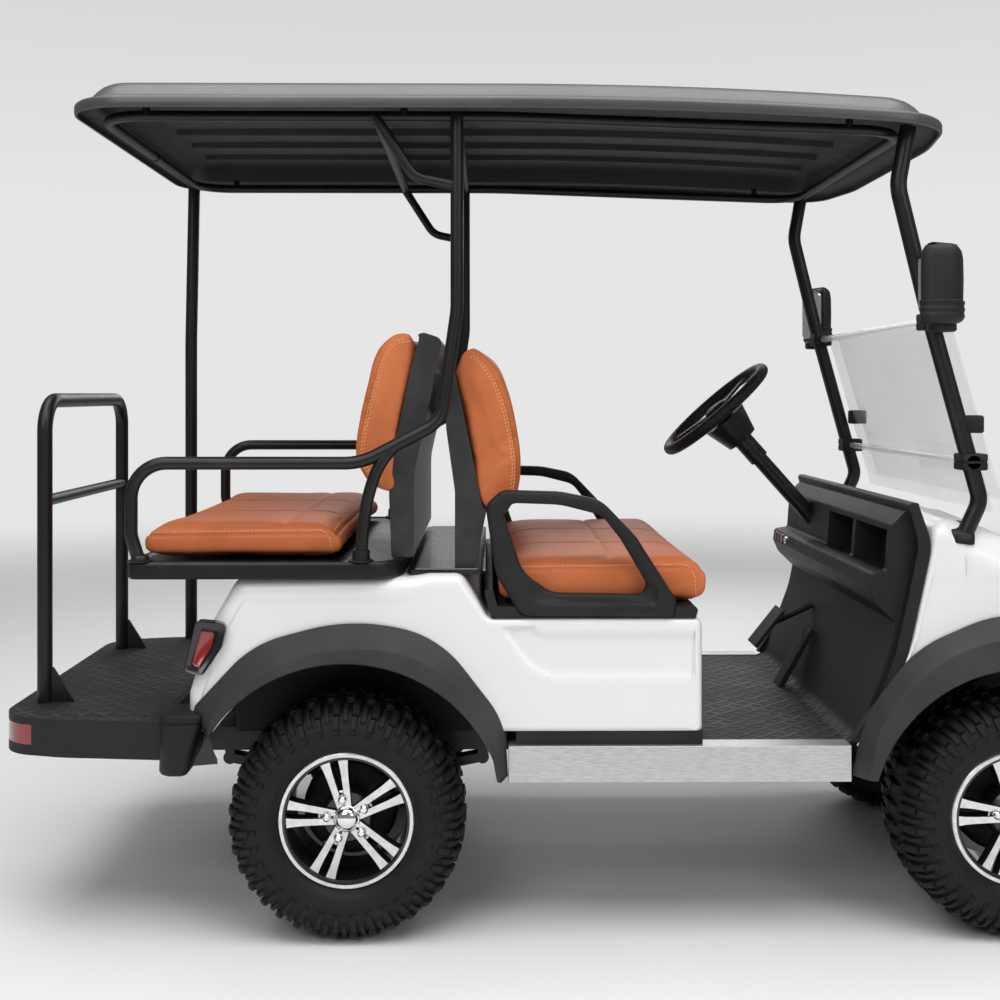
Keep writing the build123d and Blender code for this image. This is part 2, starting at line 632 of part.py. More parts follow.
def cowl_trim():
    """Black edge trim round the cabin side of the cowl, an arch from sill to sill."""
    outer = [(-408, 478, 1), (-340, 582, 60), (-298, 696, 200), (-242, 960, 120),
             (-270, 1062, 30), (-244, 1062, 10)]
    inner = [(-242, 1052, 10), (-210, 960, 120), (-268, 696, 200), (-310, 582, 60),
             (-378, 478, 1)]
    hoop = side_slab(outline(from_front_axle(outer + inner)), -BODY_HALF, BODY_HALF)
    half = BODY_HALF - TRIM_WALL
    return hoop - block((FRONT_X - 440, FRONT_X - 180), (-half, half), (440, 1036))


DASH_HALF = BODY_HALF - TRIM_WALL
DASH_ROWS = [                # dashboard in side view, (x from the front axle, z, corner radius)
    (-268, 742, 12), (-340, 812, 30), (-356, 850, 12), (-352, 886, 12), (-310, 892, 10),
    (-302, 1004, 14), (-268, 1040, 16), (-236, 1040, 2), (-226, 960, 40), (-254, 800, 40),
]
POCKET_ROWS = [              # a pocket's inside in side view
    (-380, 900, 0), (-244, 876, 12), (-240, 966, 12), (-268, 990, 10), (-380, 990, 0),
]
POCKETS = ((59.0 - BODY_HALF, -232.0), (-204.0, 34.0))


def dashboard():
    """Dashboard between the cowl's sides: a lip with switches and two open pockets."""
    dash = side_slab(outline(from_front_axle(DASH_ROWS)), -DASH_HALF, DASH_HALF)
    for y0, y1 in POCKETS:
        dash -= side_slab(outline(from_front_axle(POCKET_ROWS)), y0, y1)
    hole = rod(column_point(300), column_point(520), COLUMN_R + RUNNING_GAP)
    return dash - hole


BUMPER_HALF = BODY_HALF - 25
BUMPER_CORE_HALF = HORN_Y + RAIL_W / 2 + 15
BUMPER_WING_X = 382.0        # wings' back face, clear of the steered tyres


def front_bumper():
    """Black moulded bumper under the nose: a core on the rails' ends and two thin wings."""
    front = FRONT_X + FRONT_OVERHANG
    wing = FRONT_X + BUMPER_WING_X
    half = [(BUMPER_BACK_X, BUMPER_CORE_HALF, 12), (wing, BUMPER_CORE_HALF + 20, 20),
            (wing, BUMPER_HALF, 8), (wing + 14, BUMPER_HALF, 12),
            (front - 14, BUMPER_HALF - 90, 90), (front, 180, 400)]
    plan = outline(half + [(x, -y, bend) for x, y, bend in reversed(half)])
    return plan_slab(plan, RAIL_LOW - 50, COWL_ROWS[-1][1])


def headlamps():
    """A lamp in each front corner of the cowl."""
    lamp = Pos(FRONT_X + 330, 155 - BODY_HALF, 690) * Rot(0, 62, 0) * Cylinder(62, 40)
    return both(lamp)


def corner_bumpers():
    """Black corner pieces between the platform's skirt, the rear arch and the body."""
    rows = [(-450, 556, 30), (-380, 584, 10), (-322, 516, 10), (-352, 440, 10), (-372, 408, 10),
            (-440, 408, 20)]
    corner = side_slab(outline(rows), -BODY_HALF - 40, -BODY_HALF + 80)
    return both(corner)


def platform_plan(inset):
    """The foot platform's outline in plan, drawn in."""
    back = inset - REAR_OVERHANG
    front = PLATFORM_FRONT_X - inset
    wide = BODY_HALF - 6 - inset
    bend = max(120 - inset, 1)
    half = [(front, wide, 1), (back + 170, wide - 24, 200), (back, wide - 69, bend)]
    return outline(half + [(x, -y, r) for x, y, r in reversed(half)])


REFLECTOR_T = 3.0
REFLECTOR_Z = (463.0, 512.0)


def rear_lamps():
    """Tail lamps on the body's rear corners, and reflectors let into the platform's."""
    rows = [(-352, 764, 14), (-296, 770, 14), (-306, 716, 20), (-352, 655, 14), (-384, 668, 10)]
    lamp = side_slab(outline(rows), -BODY_HALF - 8, -BODY_HALF)
    strip = plan_slab(platform_plan(0), *REFLECTOR_Z) - plan_slab(platform_plan(REFLECTOR_T), 0, 900)
    corner = block((-REAR_OVERHANG - 1, 88 - REAR_OVERHANG), (-BODY_HALF, 130 - BODY_HALF), (0, 900))
    return both(lamp) + both(strip & corner)


def rear_platform():
    """Foot platform behind the body: a tread plate with a deep skirt, open underneath."""
    low = PLATFORM_TOP - PLATFORM_SKIRT
    tray = plan_slab(platform_plan(0), low, PLATFORM_TOP)
    tray -= plan_slab(platform_plan(PLATFORM_T), low - 1, PLATFORM_TOP - PLATFORM_T)
    mat_half = REAR_POST_Y - REAR_POST_R - MAT_GAP
    mat_x = (GRAB_X + GUSSET_X + MAT_GAP, PLATFORM_FRONT_X - MAT_GAP)
    return tray + block(mat_x, (-mat_half, mat_half), (PLATFORM_TOP, PLATFORM_TOP + MAT_T))


def grab_bar():
    """Hoop on the platform with a cross bar, and a gusset at each foot."""
    x = GRAB_X
    foot = PLATFORM_TOP
    hoop = bent_tube([(x, -GRAB_HALF, foot), (x, -GRAB_HALF, GRAB_TOP), (x, GRAB_HALF, GRAB_TOP),
                      (x, GRAB_HALF, foot)], GRAB_R, [80, 80])
    hoop += rod((x, -GRAB_HALF, 1051), (x, GRAB_HALF, 1051), GRAB_R - 4)
    for side in (-1, 1):
        y = side * GRAB_HALF
        web = outline([(x, foot, 1), (x + GUSSET_X, foot, 4), (x + 22, foot + 90, 4),
                       (x, foot + 90, 1)])
        hoop += side_slab(web, y - 4, y + 4)
    return hoop


SEAT_HINGE = (868.0, DECK_TOP - 6)
HINGE_R = 5.0
HINGE_Y = 340.0
HINGE_L = 70.0


def seat_deck():
    """Black moulded deck on the pod, under the front cushion."""
    rows = [(352, BODY_TOP_FRONT, 2), (334, DECK_TOP + 40, 10), (356, DECK_TOP + 40, 6),
            (368, DECK_TOP, 6), (860, DECK_TOP, 14), (852, BODY_TOP_FRONT, 2)]
    deck = side_slab(outline(rows), -BODY_HALF + 3, BODY_HALF - 3)
    for side in (-1, 1):
        y = side * HINGE_Y
        x, z = SEAT_HINGE
        deck += rod((x, y - HINGE_L / 2, z), (x, y + HINGE_L / 2, z), HINGE_R)
        deck += block((850, x), (y - HINGE_L / 2, y + HINGE_L / 2), (z - 3, z + 3))
    return deck


def pad(rows, y0, y1):
    """A soft pad: a side view made solid between two planes."""
    return side_slab(outline(rows), y0, y1)


def front_seat_cushion():
    """Front bench cushion, its lid base included."""
    x0, x1 = FRONT_CUSHION_X
    z0 = DECK_TOP + SEAT_GAP
    rows = [(x0, z0, 12), (x0, z0 + CUSHION_T - 16, 34), (x0 + 190, z0 + CUSHION_T, 400),
            (x1 - 20, z0 + CUSHION_T - 4, 50), (x1, z0 + 66, 40), (x1 - 6, z0, 16)]
    return pad(rows, -CUSHION_HALF, CUSHION_HALF)


def rear_seat_cushion():
    """Rear bench cushion, facing backwards."""
    x0, x1 = REAR_CUSHION_X
    z0 = PAN_TOP + SEAT_GAP
    rows = [(x0 + 6, z0, 10), (x0, z0 + 50, 30), (x0 + 24, z0 + REAR_CUSHION_T, 30),
            (x1 - 20, z0 + REAR_CUSHION_T, 30), (x1, z0 + 40, 30), (x1 - 4, z0, 10)]
    return pad(rows, -CUSHION_HALF, CUSHION_HALF)


FRONT_BACK_ROWS = [          # front back pad in side view, (x, z, corner radius)
    (332, 1042, 14), (398, 1026, 26), (428, 1120, 120), (416, 1240, 300), (364, 1400, 120),
    (312, 1446, 40), (262, 1432, 20), (262, 1380, 60), (286, 1270, 400),
]
REAR_BACK_ROWS = [           # rear back pad in side view
    (100, 1085, 10), (36, 1108, 30), (12, 1180, 90), (30, 1296, 300), (72, 1430, 100),
    (120, 1484, 30), (176, 1480, 14), (150, 1380, 300), (116, 1220, 300),
]
FRONT_SHELL_ROWS = [         # the front row's back shell and bracket
    (340, 1034, 8), (296, 1262, 200), (258, 1392, 60), (236, 1380, 20), (240, 1242, 200),
    (262, 1086, 100), (262, BODY_PEAK, 6), (310, BODY_PEAK, 6),
]
REAR_SHELL_ROWS = [          # the rear row's
    (98, 1079, 8), (106, 1216, 200), (140, 1380, 300), (170, 1486, 20), (232, 1466, 20),
    (204, 1330, 300), (160, 1130, 200), (160, PAN_TOP, 4), (104, PAN_TOP, 4),
]


def seat_backs():
    """Two back pads for each row."""
    pads = []
    for rows in (FRONT_BACK_ROWS, REAR_BACK_ROWS):
        pads += both(pad(rows, -BACK_HALF, -BACK_SPLIT / 2))
    return pads


def seat_back_shells():
    """Black shells behind the back pads, each on a foot."""
    shells = []
    for rows, pad_rows, away in ((FRONT_SHELL_ROWS, FRONT_BACK_ROWS, -SEAT_GAP),
                                 (REAR_SHELL_ROWS, REAR_BACK_ROWS, SEAT_GAP)):
        shell = pad(rows, -BACK_HALF + 6, BACK_HALF - 6)
        shells.append(shell - Pos(away, 0, 0) * pad(pad_rows, -BACK_HALF, BACK_HALF))
    return shells


def front_armrests():
    """A closed black loop beside each end of the front bench."""
    outer = [(338, 1056, 20), (378, 1094, 40), (520, 1090, 200), (620, 1070, 90), (706, 980, 60),
             (806, 822, 20), (800, 783, 10), (424, 786, 30), (362, 890, 120)]
    inner = [(382, 1034, 14), (404, 1062, 20), (520, 1058, 200), (622, 1032, 60), (668, 974, 60),
             (732, 866, 12), (722, 838, 12), (500, 842, 60), (430, 890, 90)]
    loop = side_slab(outline(outer) - outline(inner), -BODY_HALF - 6, -BODY_HALF + 32)
    return both(loop)


def rear_seat_pan():
    """Black steel tray on the body, carrying the rear seat and its rails."""
    x0, x1 = PAN_X
    y = (-PAN_HALF, PAN_HALF)
    tray = block((x0, x1), y, (PAN_TOP - PAN_T, PAN_TOP))
    tray -= block((x0 + PAN_WALL, x1 - PAN_WALL), (y[0] + PAN_WALL, y[1] - PAN_WALL),
                  (PAN_TOP - PAN_T - 1, PAN_TOP - PAN_WALL))
    return tray


POST_TOP_Z = FRAME_Z + 6.0
POST_BEND_Z = 1533.0


def post_y(z):
    """How far out the centre post stands at a height over its bend."""
    share = (z - POST_BEND_Z) / (POST_TOP_Z - POST_BEND_Z)
    return POST_Y + share * (POST_TOP_Y - POST_Y)


RAIL_JOINT_X = -330.0        # rear rail's sleeve joint, ahead of its rear bend


def side_rails():
    """Centre post and rear rail in one bent tube a side, the rail's rear end and front leg."""
    front = (RAIL_JOINT_X, -POST_Y, 1160)
    post = bent_tube([(269, -POST_TOP_Y, POST_TOP_Z), (269, -POST_Y, POST_BEND_Z), (230, -POST_Y, 1261),
                      (36, -POST_Y, 1160), front], TUBE_R, [250, 60, 150])
    post += bent_tube([(160, -POST_Y, 1218), (42, -POST_Y, 1166), (40, -POST_Y, PAN_TOP)],
                      TUBE_R - 1, [80])
    end = bent_tube([front, (-522, -POST_Y, 1160), (-522, -POST_Y, 985),
                     (-496, -POST_Y, PAN_TOP - 12)], TUBE_R, [95, 60])
    foot = block((-560, 80), (-POST_Y - 40, -POST_Y + 40), (PAN_TOP - 60, PAN_TOP))
    return both(post - foot) + both(end - foot)


def roof_braces():
    """A bent brace from each centre post up to the roof's frame."""
    brace = bent_tube([(72, -POST_TOP_Y, FRAME_Z - 4), (165, -post_y(1856), 1856),
                       (262, -post_y(1836), 1836)], TUBE_R - 3, [60])
    return both(brace)


def rear_post():
    """The one rear roof post, on the left, from the platform to the roof."""
    return bent_tube([(-627, REAR_POST_Y, PLATFORM_TOP), (-627, REAR_POST_Y, 1500),
                      (-617, REAR_POST_TOP_Y, FRAME_Z - 4)], REAR_POST_R, [400])


PILLAR_POINTS = [            # (x from the front axle, y, z), from the roof down
    (-262, PILLAR_TOP_Y, FRAME_Z - 18), (-288, PILLAR_TOP_Y, 1840), (-216, PILLAR_Y, 1545),
    (-84, PILLAR_Y, 1066), (-132, PILLAR_Y, 962),
]


def screen_pillars():
    """Bent front pillars from the cowl to the roof."""
    points = [(FRONT_X + x, -y, z) for x, y, z in PILLAR_POINTS]
    return both(bent_tube(points, PILLAR_R, [120, 900, 60]))


def roof_dip(x):
    """How far the roof's line falls ahead of its bend."""
    return max(x - ROOF_BEND_X, 0) ** 2 / (2 * ROOF_DIP_R)


def roof_band(low, high):
    """Side view of the roof between two heights over its edge line."""
    rear = ROOF_REAR_X - 50
    front = ROOF_FRONT_X + 50
    mid = (ROOF_BEND_X + front) / 2
    def line(rise):
        points = [(x, ROOF_EDGE_Z + rise - roof_dip(x)) for x in (ROOF_BEND_X, mid, front)]
        return Line((rear, ROOF_EDGE_Z + rise), points[0]), ThreePointArc(*points)
    flat_low, arc_low = line(low)
    flat_high, arc_high = line(high)
    return make_face([flat_low, arc_low, Line(arc_low @ 1, arc_high @ 1), arc_high, flat_high,
                      Line(flat_high @ 0, flat_low @ 0)])


def roof_plan(inset):
    """Plan outline of the roof, drawn in from its edge."""
    rear = ROOF_REAR_X + inset
    half = ROOF_HALF - inset
    front = ROOF_FRONT_X - inset
    bend = 150 - inset
    return outline([(rear, -half, bend), (front - 60, -half, bend), (front - 8, -half + 300, 600),
                    (front - 8, half - 300, 600), (front - 60, half, bend), (rear, half, bend)])


def roof_panel():
    """Moulded roof: a rim with a raised crown, hollow underneath."""
    t = ROOF_T
    z = ROOF_EDGE_Z
    top = ROOF_EDGE_H + ROOF_CROWN
    rim = plan_slab(roof_plan(0), z - 200, z + 200)
    rim &= side_slab(roof_band(0, ROOF_EDGE_H), -ROOF_HALF - 1, ROOF_HALF + 1)
    crown = plan_slab(roof_plan(ROOF_SLOPE), z - 200, z + 200)
    crown &= side_slab(roof_band(0, top), -ROOF_HALF - 1, ROOF_HALF + 1)
    hollow = plan_slab(roof_plan(t), z - 200, z + 200)
    hollow &= side_slab(roof_band(-60, ROOF_EDGE_H - t), -ROOF_HALF - 1, ROOF_HALF + 1)
    recess = plan_slab(roof_plan(ROOF_SLOPE + t), z - 200, z + 200)
    recess &= side_slab(roof_band(-60, top - t), -ROOF_HALF - 1, ROOF_HALF + 1)
    return rim + crown - hollow - recess


ROOF_PAD_R = 9.0


def roof_frame():
    """Tube frame under the roof: a rounded ring, cross bars at the posts and mounting pads."""
    inset = 70.0
    x0, x1 = ROOF_REAR_X + inset, ROOF_FRONT_X - inset - 70
    y = FRAME_Y
    z1 = FRAME_Z - roof_dip(x1)
    join = 3.0
    ring = bent_tube([(x0, -join, FRAME_Z), (x0, -y, FRAME_Z), (ROOF_BEND_X, -y, FRAME_Z), (x1, -y, z1),
                      (x1, y, z1), (ROOF_BEND_X, y, FRAME_Z), (x0, y, FRAME_Z), (x0, join, FRAME_Z)],
                     FRAME_TUBE_R, [110, 3000, 110, 110, 3000, 110])
    ring += rod((x0, -20, FRAME_Z), (x0, 20, FRAME_Z), FRAME_TUBE_R + 2)
    for x in (72.0, 269.0):
        ring += rod((x, -y, FRAME_Z), (x, y, FRAME_Z), FRAME_TUBE_R)
    under = ROOF_EDGE_Z + ROOF_EDGE_H - ROOF_T + 2
    for x in (x0 + 120, 140.0, x1 - 140):
        tube_z = FRAME_Z - roof_dip(x1) * max(x - ROOF_BEND_X, 0) / (x1 - ROOF_BEND_X)
        for side in (-1, 1):
            pad_y = side * (y + 6)
            ring += rod((x, pad_y, tube_z), (x, pad_y, under - roof_dip(x)), ROOF_PAD_R)
    return ring


SCREEN_IN = 30.0             # screen's edges, in from the pillars' middle
SCREEN_HALF = PILLAR_Y - SCREEN_IN
SCREEN_T = 5.0
SCREEN_TOP = (FRONT_X - 180.0, 1508.0)
SCREEN_FOOT = (FRONT_X - 42.0, 1034.0)
FOLD_GAP = 25.0              # folded upper half, ahead of the lower half
FOLD_FOOT_Z = 1066.0


def screen_x(z):
    """The lower half's back face at a height."""
    share = (SCREEN_TOP[1] - z) / (SCREEN_TOP[1] - SCREEN_FOOT[1])
    return SCREEN_TOP[0] + share * (SCREEN_FOOT[0] - SCREEN_TOP[0])


def screen_sheet(ahead, low_z):
    """A clear sheet along the screen's slope, so far ahead of the lower half's back face."""
    top_x, top_z = SCREEN_TOP
    x = top_x + ahead
    low_x = screen_x(low_z) + ahead
    face = outline([(x, top_z, 0), (x + SCREEN_T, top_z, 0), (low_x + SCREEN_T, low_z, 0),
                    (low_x, low_z, 0)])
    return side_slab(face, -SCREEN_HALF, SCREEN_HALF)


def windscreen():
    """Clear folding windscreen: fixed lower half, upper half folded down in front of it."""
    return [screen_sheet(0, SCREEN_FOOT[1]), screen_sheet(FOLD_GAP + SCREEN_T, FOLD_FOOT_Z)]


CLAMPS = ((FRONT_X - 202.0, 1506.0), (FRONT_X - 108.0, 1161.0))
CLIP_Z = 1253.0


def screen_clamps():
    """Cross tubes behind the screen with a clamp on each pillar, and the fold's clips."""
    pieces = []
    for x, z in CLAMPS:
        bar = rod((x, -PILLAR_Y, z), (x, PILLAR_Y, z), 9)
        for side in (-1, 1):
            y = sorted((side * (PILLAR_Y + 26), side * (SCREEN_HALF - 16)))
            bar += block((x - 28, screen_x(z) + 8), y, (z - 20, z + 20))
        pieces.append(bar)
    x = screen_x(CLIP_Z)
    for side in (-1, 1):
        y = sorted((side * (SCREEN_HALF + 10), side * (SCREEN_HALF - 34)))
        pieces.append(block((x - 10, x + FOLD_GAP + 30), y, (CLIP_Z - 22, CLIP_Z + 22)))
    return pieces


MIRROR_OUT_Y = BODY_HALF + 145
MIRROR_W = 142.0


def mirrors():
    """A side mirror on each front pillar: arm, housing and glass."""
    inner = MIRROR_W - MIRROR_OUT_Y
    plan = outline(from_front_axle([(-248, -MIRROR_OUT_Y, 24), (-248, inner, 20), (-170, inner - 8, 40),
                                    (-146, inner - 82, 40), (-170, -MIRROR_OUT_Y, 36)]))
    head = plan_slab(plan, 1496, 1686)
    back = FRONT_X - 252
    lens = block((back, back + 6), (12 - MIRROR_OUT_Y, inner - 12), (1508, 1674))
    stem = (FRONT_X - 200, inner - 32)
    neck = rod((FRONT_X - 224, -PILLAR_Y, 1560), (*stem, 1536), 14)
    boss = rod((*stem, 1478), (*stem, 1500), 34)
    return both(head + lens + neck + boss)


def pedals():
    """Accelerator and brake pedals on arms from the footwell's wall."""
    brake = outline(from_front_axle([(-500, 574, 3), (-414, 682, 3), (-406, 676, 3), (-492, 568, 3)]))
    gas = outline(from_front_axle([(-448, FLOOR_Z, 3), (-350, 640, 3), (-338, 634, 3),
                                   (-430, FLOOR_Z, 3)]))
    brake_arm = rod((FRONT_X - 450, 190, 628), (FRONT_X - 315, 190, 690), 9)
    return [side_slab(brake, 140, 240) + brake_arm, side_slab(gas, 60, 128)]


# ---- The finished pieces -------------------------------------------------------------------
def wheels():
    """Tyre and rim nodes of the four wheels."""
    made_tyre, made_rim = tyre(), rim()
    nodes = {}
    for row, x in (("front", FRONT_X), ("rear", 0.0)):
        for side, hand in ((1, "left"), (-1, "right")):
            place = wheel_place(x, side)
            nodes[f"tyre_{row}_{hand}"] = place * made_tyre
            nodes[f"rim_{row}_{hand}"] = place * made_rim
    return nodes


FIXED = (
    chassis_frame, rear_axle, drive_motor, battery_pack, rear_suspension, front_suspension,
    floor_pan, side_sills, front_cowl, cowl_trim, dashboard, front_bumper, headlamps, rear_body,
    body_skirt, corner_bumpers, arch_flares, rear_lamps, seat_deck, seat_backs, seat_back_shells,
    front_armrests, rear_seat_pan, rear_seat_cushion, side_rails, roof_braces, rear_post,
    screen_pillars, roof_panel, roof_frame, windscreen, screen_clamps, mirrors, rear_platform,
    grab_bar, steering_column, pedals,
)


LET_INTO = (                 # a piece, and the pieces that pass through or seat in it
    ("corner_bumpers", ("arch_flares", "rear_body", "rear_platform")),
    ("cowl_trim", ("front_cowl", "floor_pan")),
    ("dashboard", ("floor_pan", "steering_column", "cowl_trim", "front_cowl")),
    ("seat_deck", ("rear_body", "front_armrests")),
    ("front_cowl", ("headlamps", "screen_pillars", "steering_column", "chassis_frame")),
    ("mirrors", ("screen_pillars",)),
    ("roof_braces", ("side_rails",)),
    ("screen_pillars", ("roof_panel",)),
    ("roof_frame", ("roof_braces", "side_rails", "screen_pillars", "rear_post", "roof_panel")),
    ("front_suspension", ("chassis_frame",)),
    ("rear_platform", ("chassis_frame", "rear_lamps")),
    ("chassis_frame", ("steering_column",)),
    ("screen_clamps", ("screen_pillars", "windscreen")),
    ("floor_pan", ("side_sills",)),
    ("pedals", ("floor_pan",)),
    ("front_bumper", ("chassis_frame", "front_cowl")),
    ("grab_bar", ("rear_platform",)),
)


def solids_of(piece):
    """The separate solids of a node as a list."""
    pieces = piece if isinstance(piece, list) else [piece]
    return [solid for one in pieces for solid in one.solids()]


def fit_together(nodes):
    """Cut each listed piece round what passes through it."""
    for name, others in LET_INTO:
        cutters = [solid for other in others for solid in solids_of(nodes[other])]
        nodes[name] = [solid - cutters for solid in solids_of(nodes[name])]


def main():
    os.makedirs("parts", exist_ok=True)
    nodes = {make.__name__: make() for make in FIXED}
    fit_together(nodes)
    nodes |= wheels()
    nodes["knuckle_left"] = knuckle(1)
    nodes["knuckle_right"] = knuckle(-1)
    nodes["tie_rod"] = tie_rod()
    nodes["steering_wheel"] = steering_wheel()
    nodes["front_seat_cushion"] = front_seat_cushion()
    for name, piece in nodes.items():
        solids = [Pos(-ORIGIN_X, 0, 0) * solid for solid in solids_of(piece)]
        whole = solids[0] if len(solids) == 1 else Compound(children=solids)
        export_step(whole, os.path.join("parts", f"{name}.step"))


if __name__ == "__main__":
    main()
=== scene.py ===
"""Looks of a four-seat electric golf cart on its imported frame.

Shapes are worked out in millimetres with X forward from the rear axle, Y to the cart's left
and Z up from the ground, as the cart's source has them, and put() moves them to the frame's
metres.  Side-view tables are (x, z) and plan tables (x, y).
"""
import json
from math import cos, pi, radians, sin, tan

import bmesh
import bpy
import numpy as np
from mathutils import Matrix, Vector
from mathutils.bvhtree import BVHTree

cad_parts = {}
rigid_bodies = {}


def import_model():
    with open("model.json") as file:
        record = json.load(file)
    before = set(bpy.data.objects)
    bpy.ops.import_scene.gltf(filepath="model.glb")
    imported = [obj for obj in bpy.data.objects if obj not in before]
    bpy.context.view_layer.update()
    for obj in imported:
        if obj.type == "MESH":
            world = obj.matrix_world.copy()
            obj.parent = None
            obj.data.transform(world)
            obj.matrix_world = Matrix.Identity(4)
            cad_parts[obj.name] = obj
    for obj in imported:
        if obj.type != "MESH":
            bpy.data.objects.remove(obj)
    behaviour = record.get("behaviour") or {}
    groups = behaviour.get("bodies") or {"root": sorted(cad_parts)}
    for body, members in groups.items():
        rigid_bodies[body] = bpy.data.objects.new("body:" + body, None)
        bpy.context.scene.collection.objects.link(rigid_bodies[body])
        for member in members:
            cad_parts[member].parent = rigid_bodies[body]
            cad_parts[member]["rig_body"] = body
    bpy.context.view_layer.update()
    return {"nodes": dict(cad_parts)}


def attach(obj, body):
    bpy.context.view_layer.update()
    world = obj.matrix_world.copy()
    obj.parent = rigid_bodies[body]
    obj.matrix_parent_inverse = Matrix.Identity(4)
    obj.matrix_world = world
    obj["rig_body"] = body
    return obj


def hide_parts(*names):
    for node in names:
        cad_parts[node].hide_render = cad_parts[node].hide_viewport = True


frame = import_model()
NODES = frame["nodes"]
SCENE = bpy.context.scene

# ---- Sizes shared with the cart's source -----------------------------------------------------
ORIGIN_X = 600.0
FRONT_X = 1640.0
AXLE_Z = 292.0
WHEEL_Y = 475.0
TYRE_R = 292.0
BODY_HALF = 555.0
WHEELS = [(row, hand) for row in ("front", "rear") for hand in ("left", "right")]


# ---- Shader building -------------------------------------------------------------------------
class Value:
    """A number that varies over a surface; each operator adds its Math node."""

    def __init__(self, paint, socket):
        self.paint = paint
        self.socket = socket

    def math(self, operation, *values):
        inputs = dict(enumerate(values))
        return self.paint.node("ShaderNodeMath", {"operation": operation}, inputs)

    def __add__(self, other):
        return self.math("ADD", self, other)

    def __sub__(self, other):
        return self.math("SUBTRACT", self, other)

    def __rsub__(self, other):
        return self.math("SUBTRACT", other, self)

    def __mul__(self, other):
        return self.math("MULTIPLY", self, other)

    def __pow__(self, other):
        return self.math("POWER", self, other)

    __radd__ = __add__
    __rmul__ = __mul__

    def sine(self):
        return self.math("SINE", self)

    def most(self, other):
        return self.math("MAXIMUM", self, other)

    def cell(self, width):
        """Distance to the nearest odd multiple of width / 2, from 0 to width / 2."""
        return self.math("PINGPONG", self + width * 50.5, width / 2)

    def step(self, low, high):
        """0 below low, 1 above high, smooth between; the other way round if low > high."""
        settings = {"interpolation_type": "SMOOTHSTEP"}
        if low > high:
            return 1 - self.step(high, low)
        return self.paint.node("ShaderNodeMapRange", settings,
                               {"Value": self, "From Min": low, "From Max": high})


class Paint:
    """A material or the world: its first shader and the nodes that feed it."""

    def __init__(self, name, owners=bpy.data.materials, shader="Principled BSDF"):
        self.owner = owners.new(name)
        self.owner.use_nodes = True
        self.tree = self.owner.node_tree
        self.shader = self.tree.nodes[shader]

    def node(self, kind, settings=None, inputs=None, output=0):
        """Any node by its type: settings first, then its sockets' values or links."""
        made = self.tree.nodes.new(kind)
        for key, value in (settings or {}).items():
            if key == "stops":
                ramp = made.color_ramp
                while len(ramp.elements) < len(value):
                    ramp.elements.new(0.5)
                for element, (place, colour) in zip(ramp.elements, value):
                    element.position = place
                    element.color = (*colour, 1.0)
            else:
                setattr(made, key, value)
        for key, value in (inputs or {}).items():
            self.link(value, made.inputs[key])
        return Value(self, made.outputs[output])

    def link(self, value, socket):
        if isinstance(value, Value):
            self.tree.links.new(value.socket, socket)
        elif isinstance(value, (tuple, list)) and socket.type == "RGBA":
            socket.default_value = (*value, 1.0)
        else:
            socket.default_value = value

    def place(self):
        """Object coordinates."""
        return self.node("ShaderNodeTexCoord", output="Object")

    def axes(self):
        """Object coordinates as three numbers, in metres."""
        split = self.node("ShaderNodeSeparateXYZ", None, {0: self.place()})
        outputs = split.socket.node.outputs
        return [Value(self, outputs[i]) for i in range(3)]

    def noise(self, scale, detail, vector=None, roughness=0.5):
        return self.node("ShaderNodeTexNoise", None, {
            "Vector": vector or self.place(), "Scale": scale, "Detail": detail,
            "Roughness": roughness})

    def cells(self, scale, feature, vector=None):
        return self.node("ShaderNodeTexVoronoi", {"feature": feature}, {
            "Vector": vector or self.place(), "Scale": scale})

    def mix(self, share, first, second):
        """A colour between two, by share."""
        return self.node("ShaderNodeMix", {"data_type": "RGBA"},
                         {0: share, 6: first, 7: second}, output=2)

    def bump(self, height, distance, strength):
        return self.node("ShaderNodeBump", None, {
            "Height": height, "Distance": distance, "Strength": strength})

    def set(self, **sockets):
        """Values or links for the shader's sockets, named with _ for a space."""
        for name, value in sockets.items():
            self.link(value, self.shader.inputs[name.replace("_", " ")])
        return self.owner

    def blended(self, share, other, output):
        """The output's surface: the first shader, going over to another by share."""
        first = Value(self, self.shader.outputs[0])
        mixed = self.node("ShaderNodeMixShader", None, {0: share, 1: first, 2: other})
        self.link(mixed, self.tree.nodes[output].inputs[0])


def gloss_white():
    """Clear-coated white panel: faint orange peel and slightly uneven gloss."""
    p = Paint("gloss_white_paint")
    peel = p.bump(p.noise(260, 2), 0.0001, 0.2)
    shade = p.mix(p.noise(2, 2), (0.84, 0.84, 0.835), (0.86, 0.86, 0.855))
    return p.set(Base_Color=shade, Roughness=p.noise(6, 2) * 0.05 + 0.27, Normal=peel,
                 Coat_Weight=0.3, Coat_Roughness=0.08)


def satin_black():
    """Powder-coated steel: fine orange peel, paler where handling has rubbed it."""
    p = Paint("satin_black_steel")
    wear = p.noise(9, 5).step(0.52, 0.74)
    shade = p.mix(wear, (0.006, 0.0063, 0.0067), (0.014, 0.0147, 0.0155))
    return p.set(Base_Color=shade, Roughness=p.noise(30, 4) * 0.16 + 0.30,
                 Normal=p.bump(p.noise(900, 2), 0.0002, 0.5), Specular_IOR_Level=0.40)


def moulded(name, low, high, rough):
    """Textured moulding: a leathery grain, mottled colour and uneven sheen."""
    p = Paint(name)
    texture = p.cells(700, "DISTANCE_TO_EDGE").step(0.0, 0.35) + p.noise(1400, 2) * 0.5
    shade = p.mix(p.noise(6, 4).step(0.35, 0.7), low, high)
    return p.set(Base_Color=shade, Roughness=p.noise(24, 4) * 0.16 + rough,
                 Normal=p.bump(texture, 0.0003, 0.6), Specular_IOR_Level=0.32)


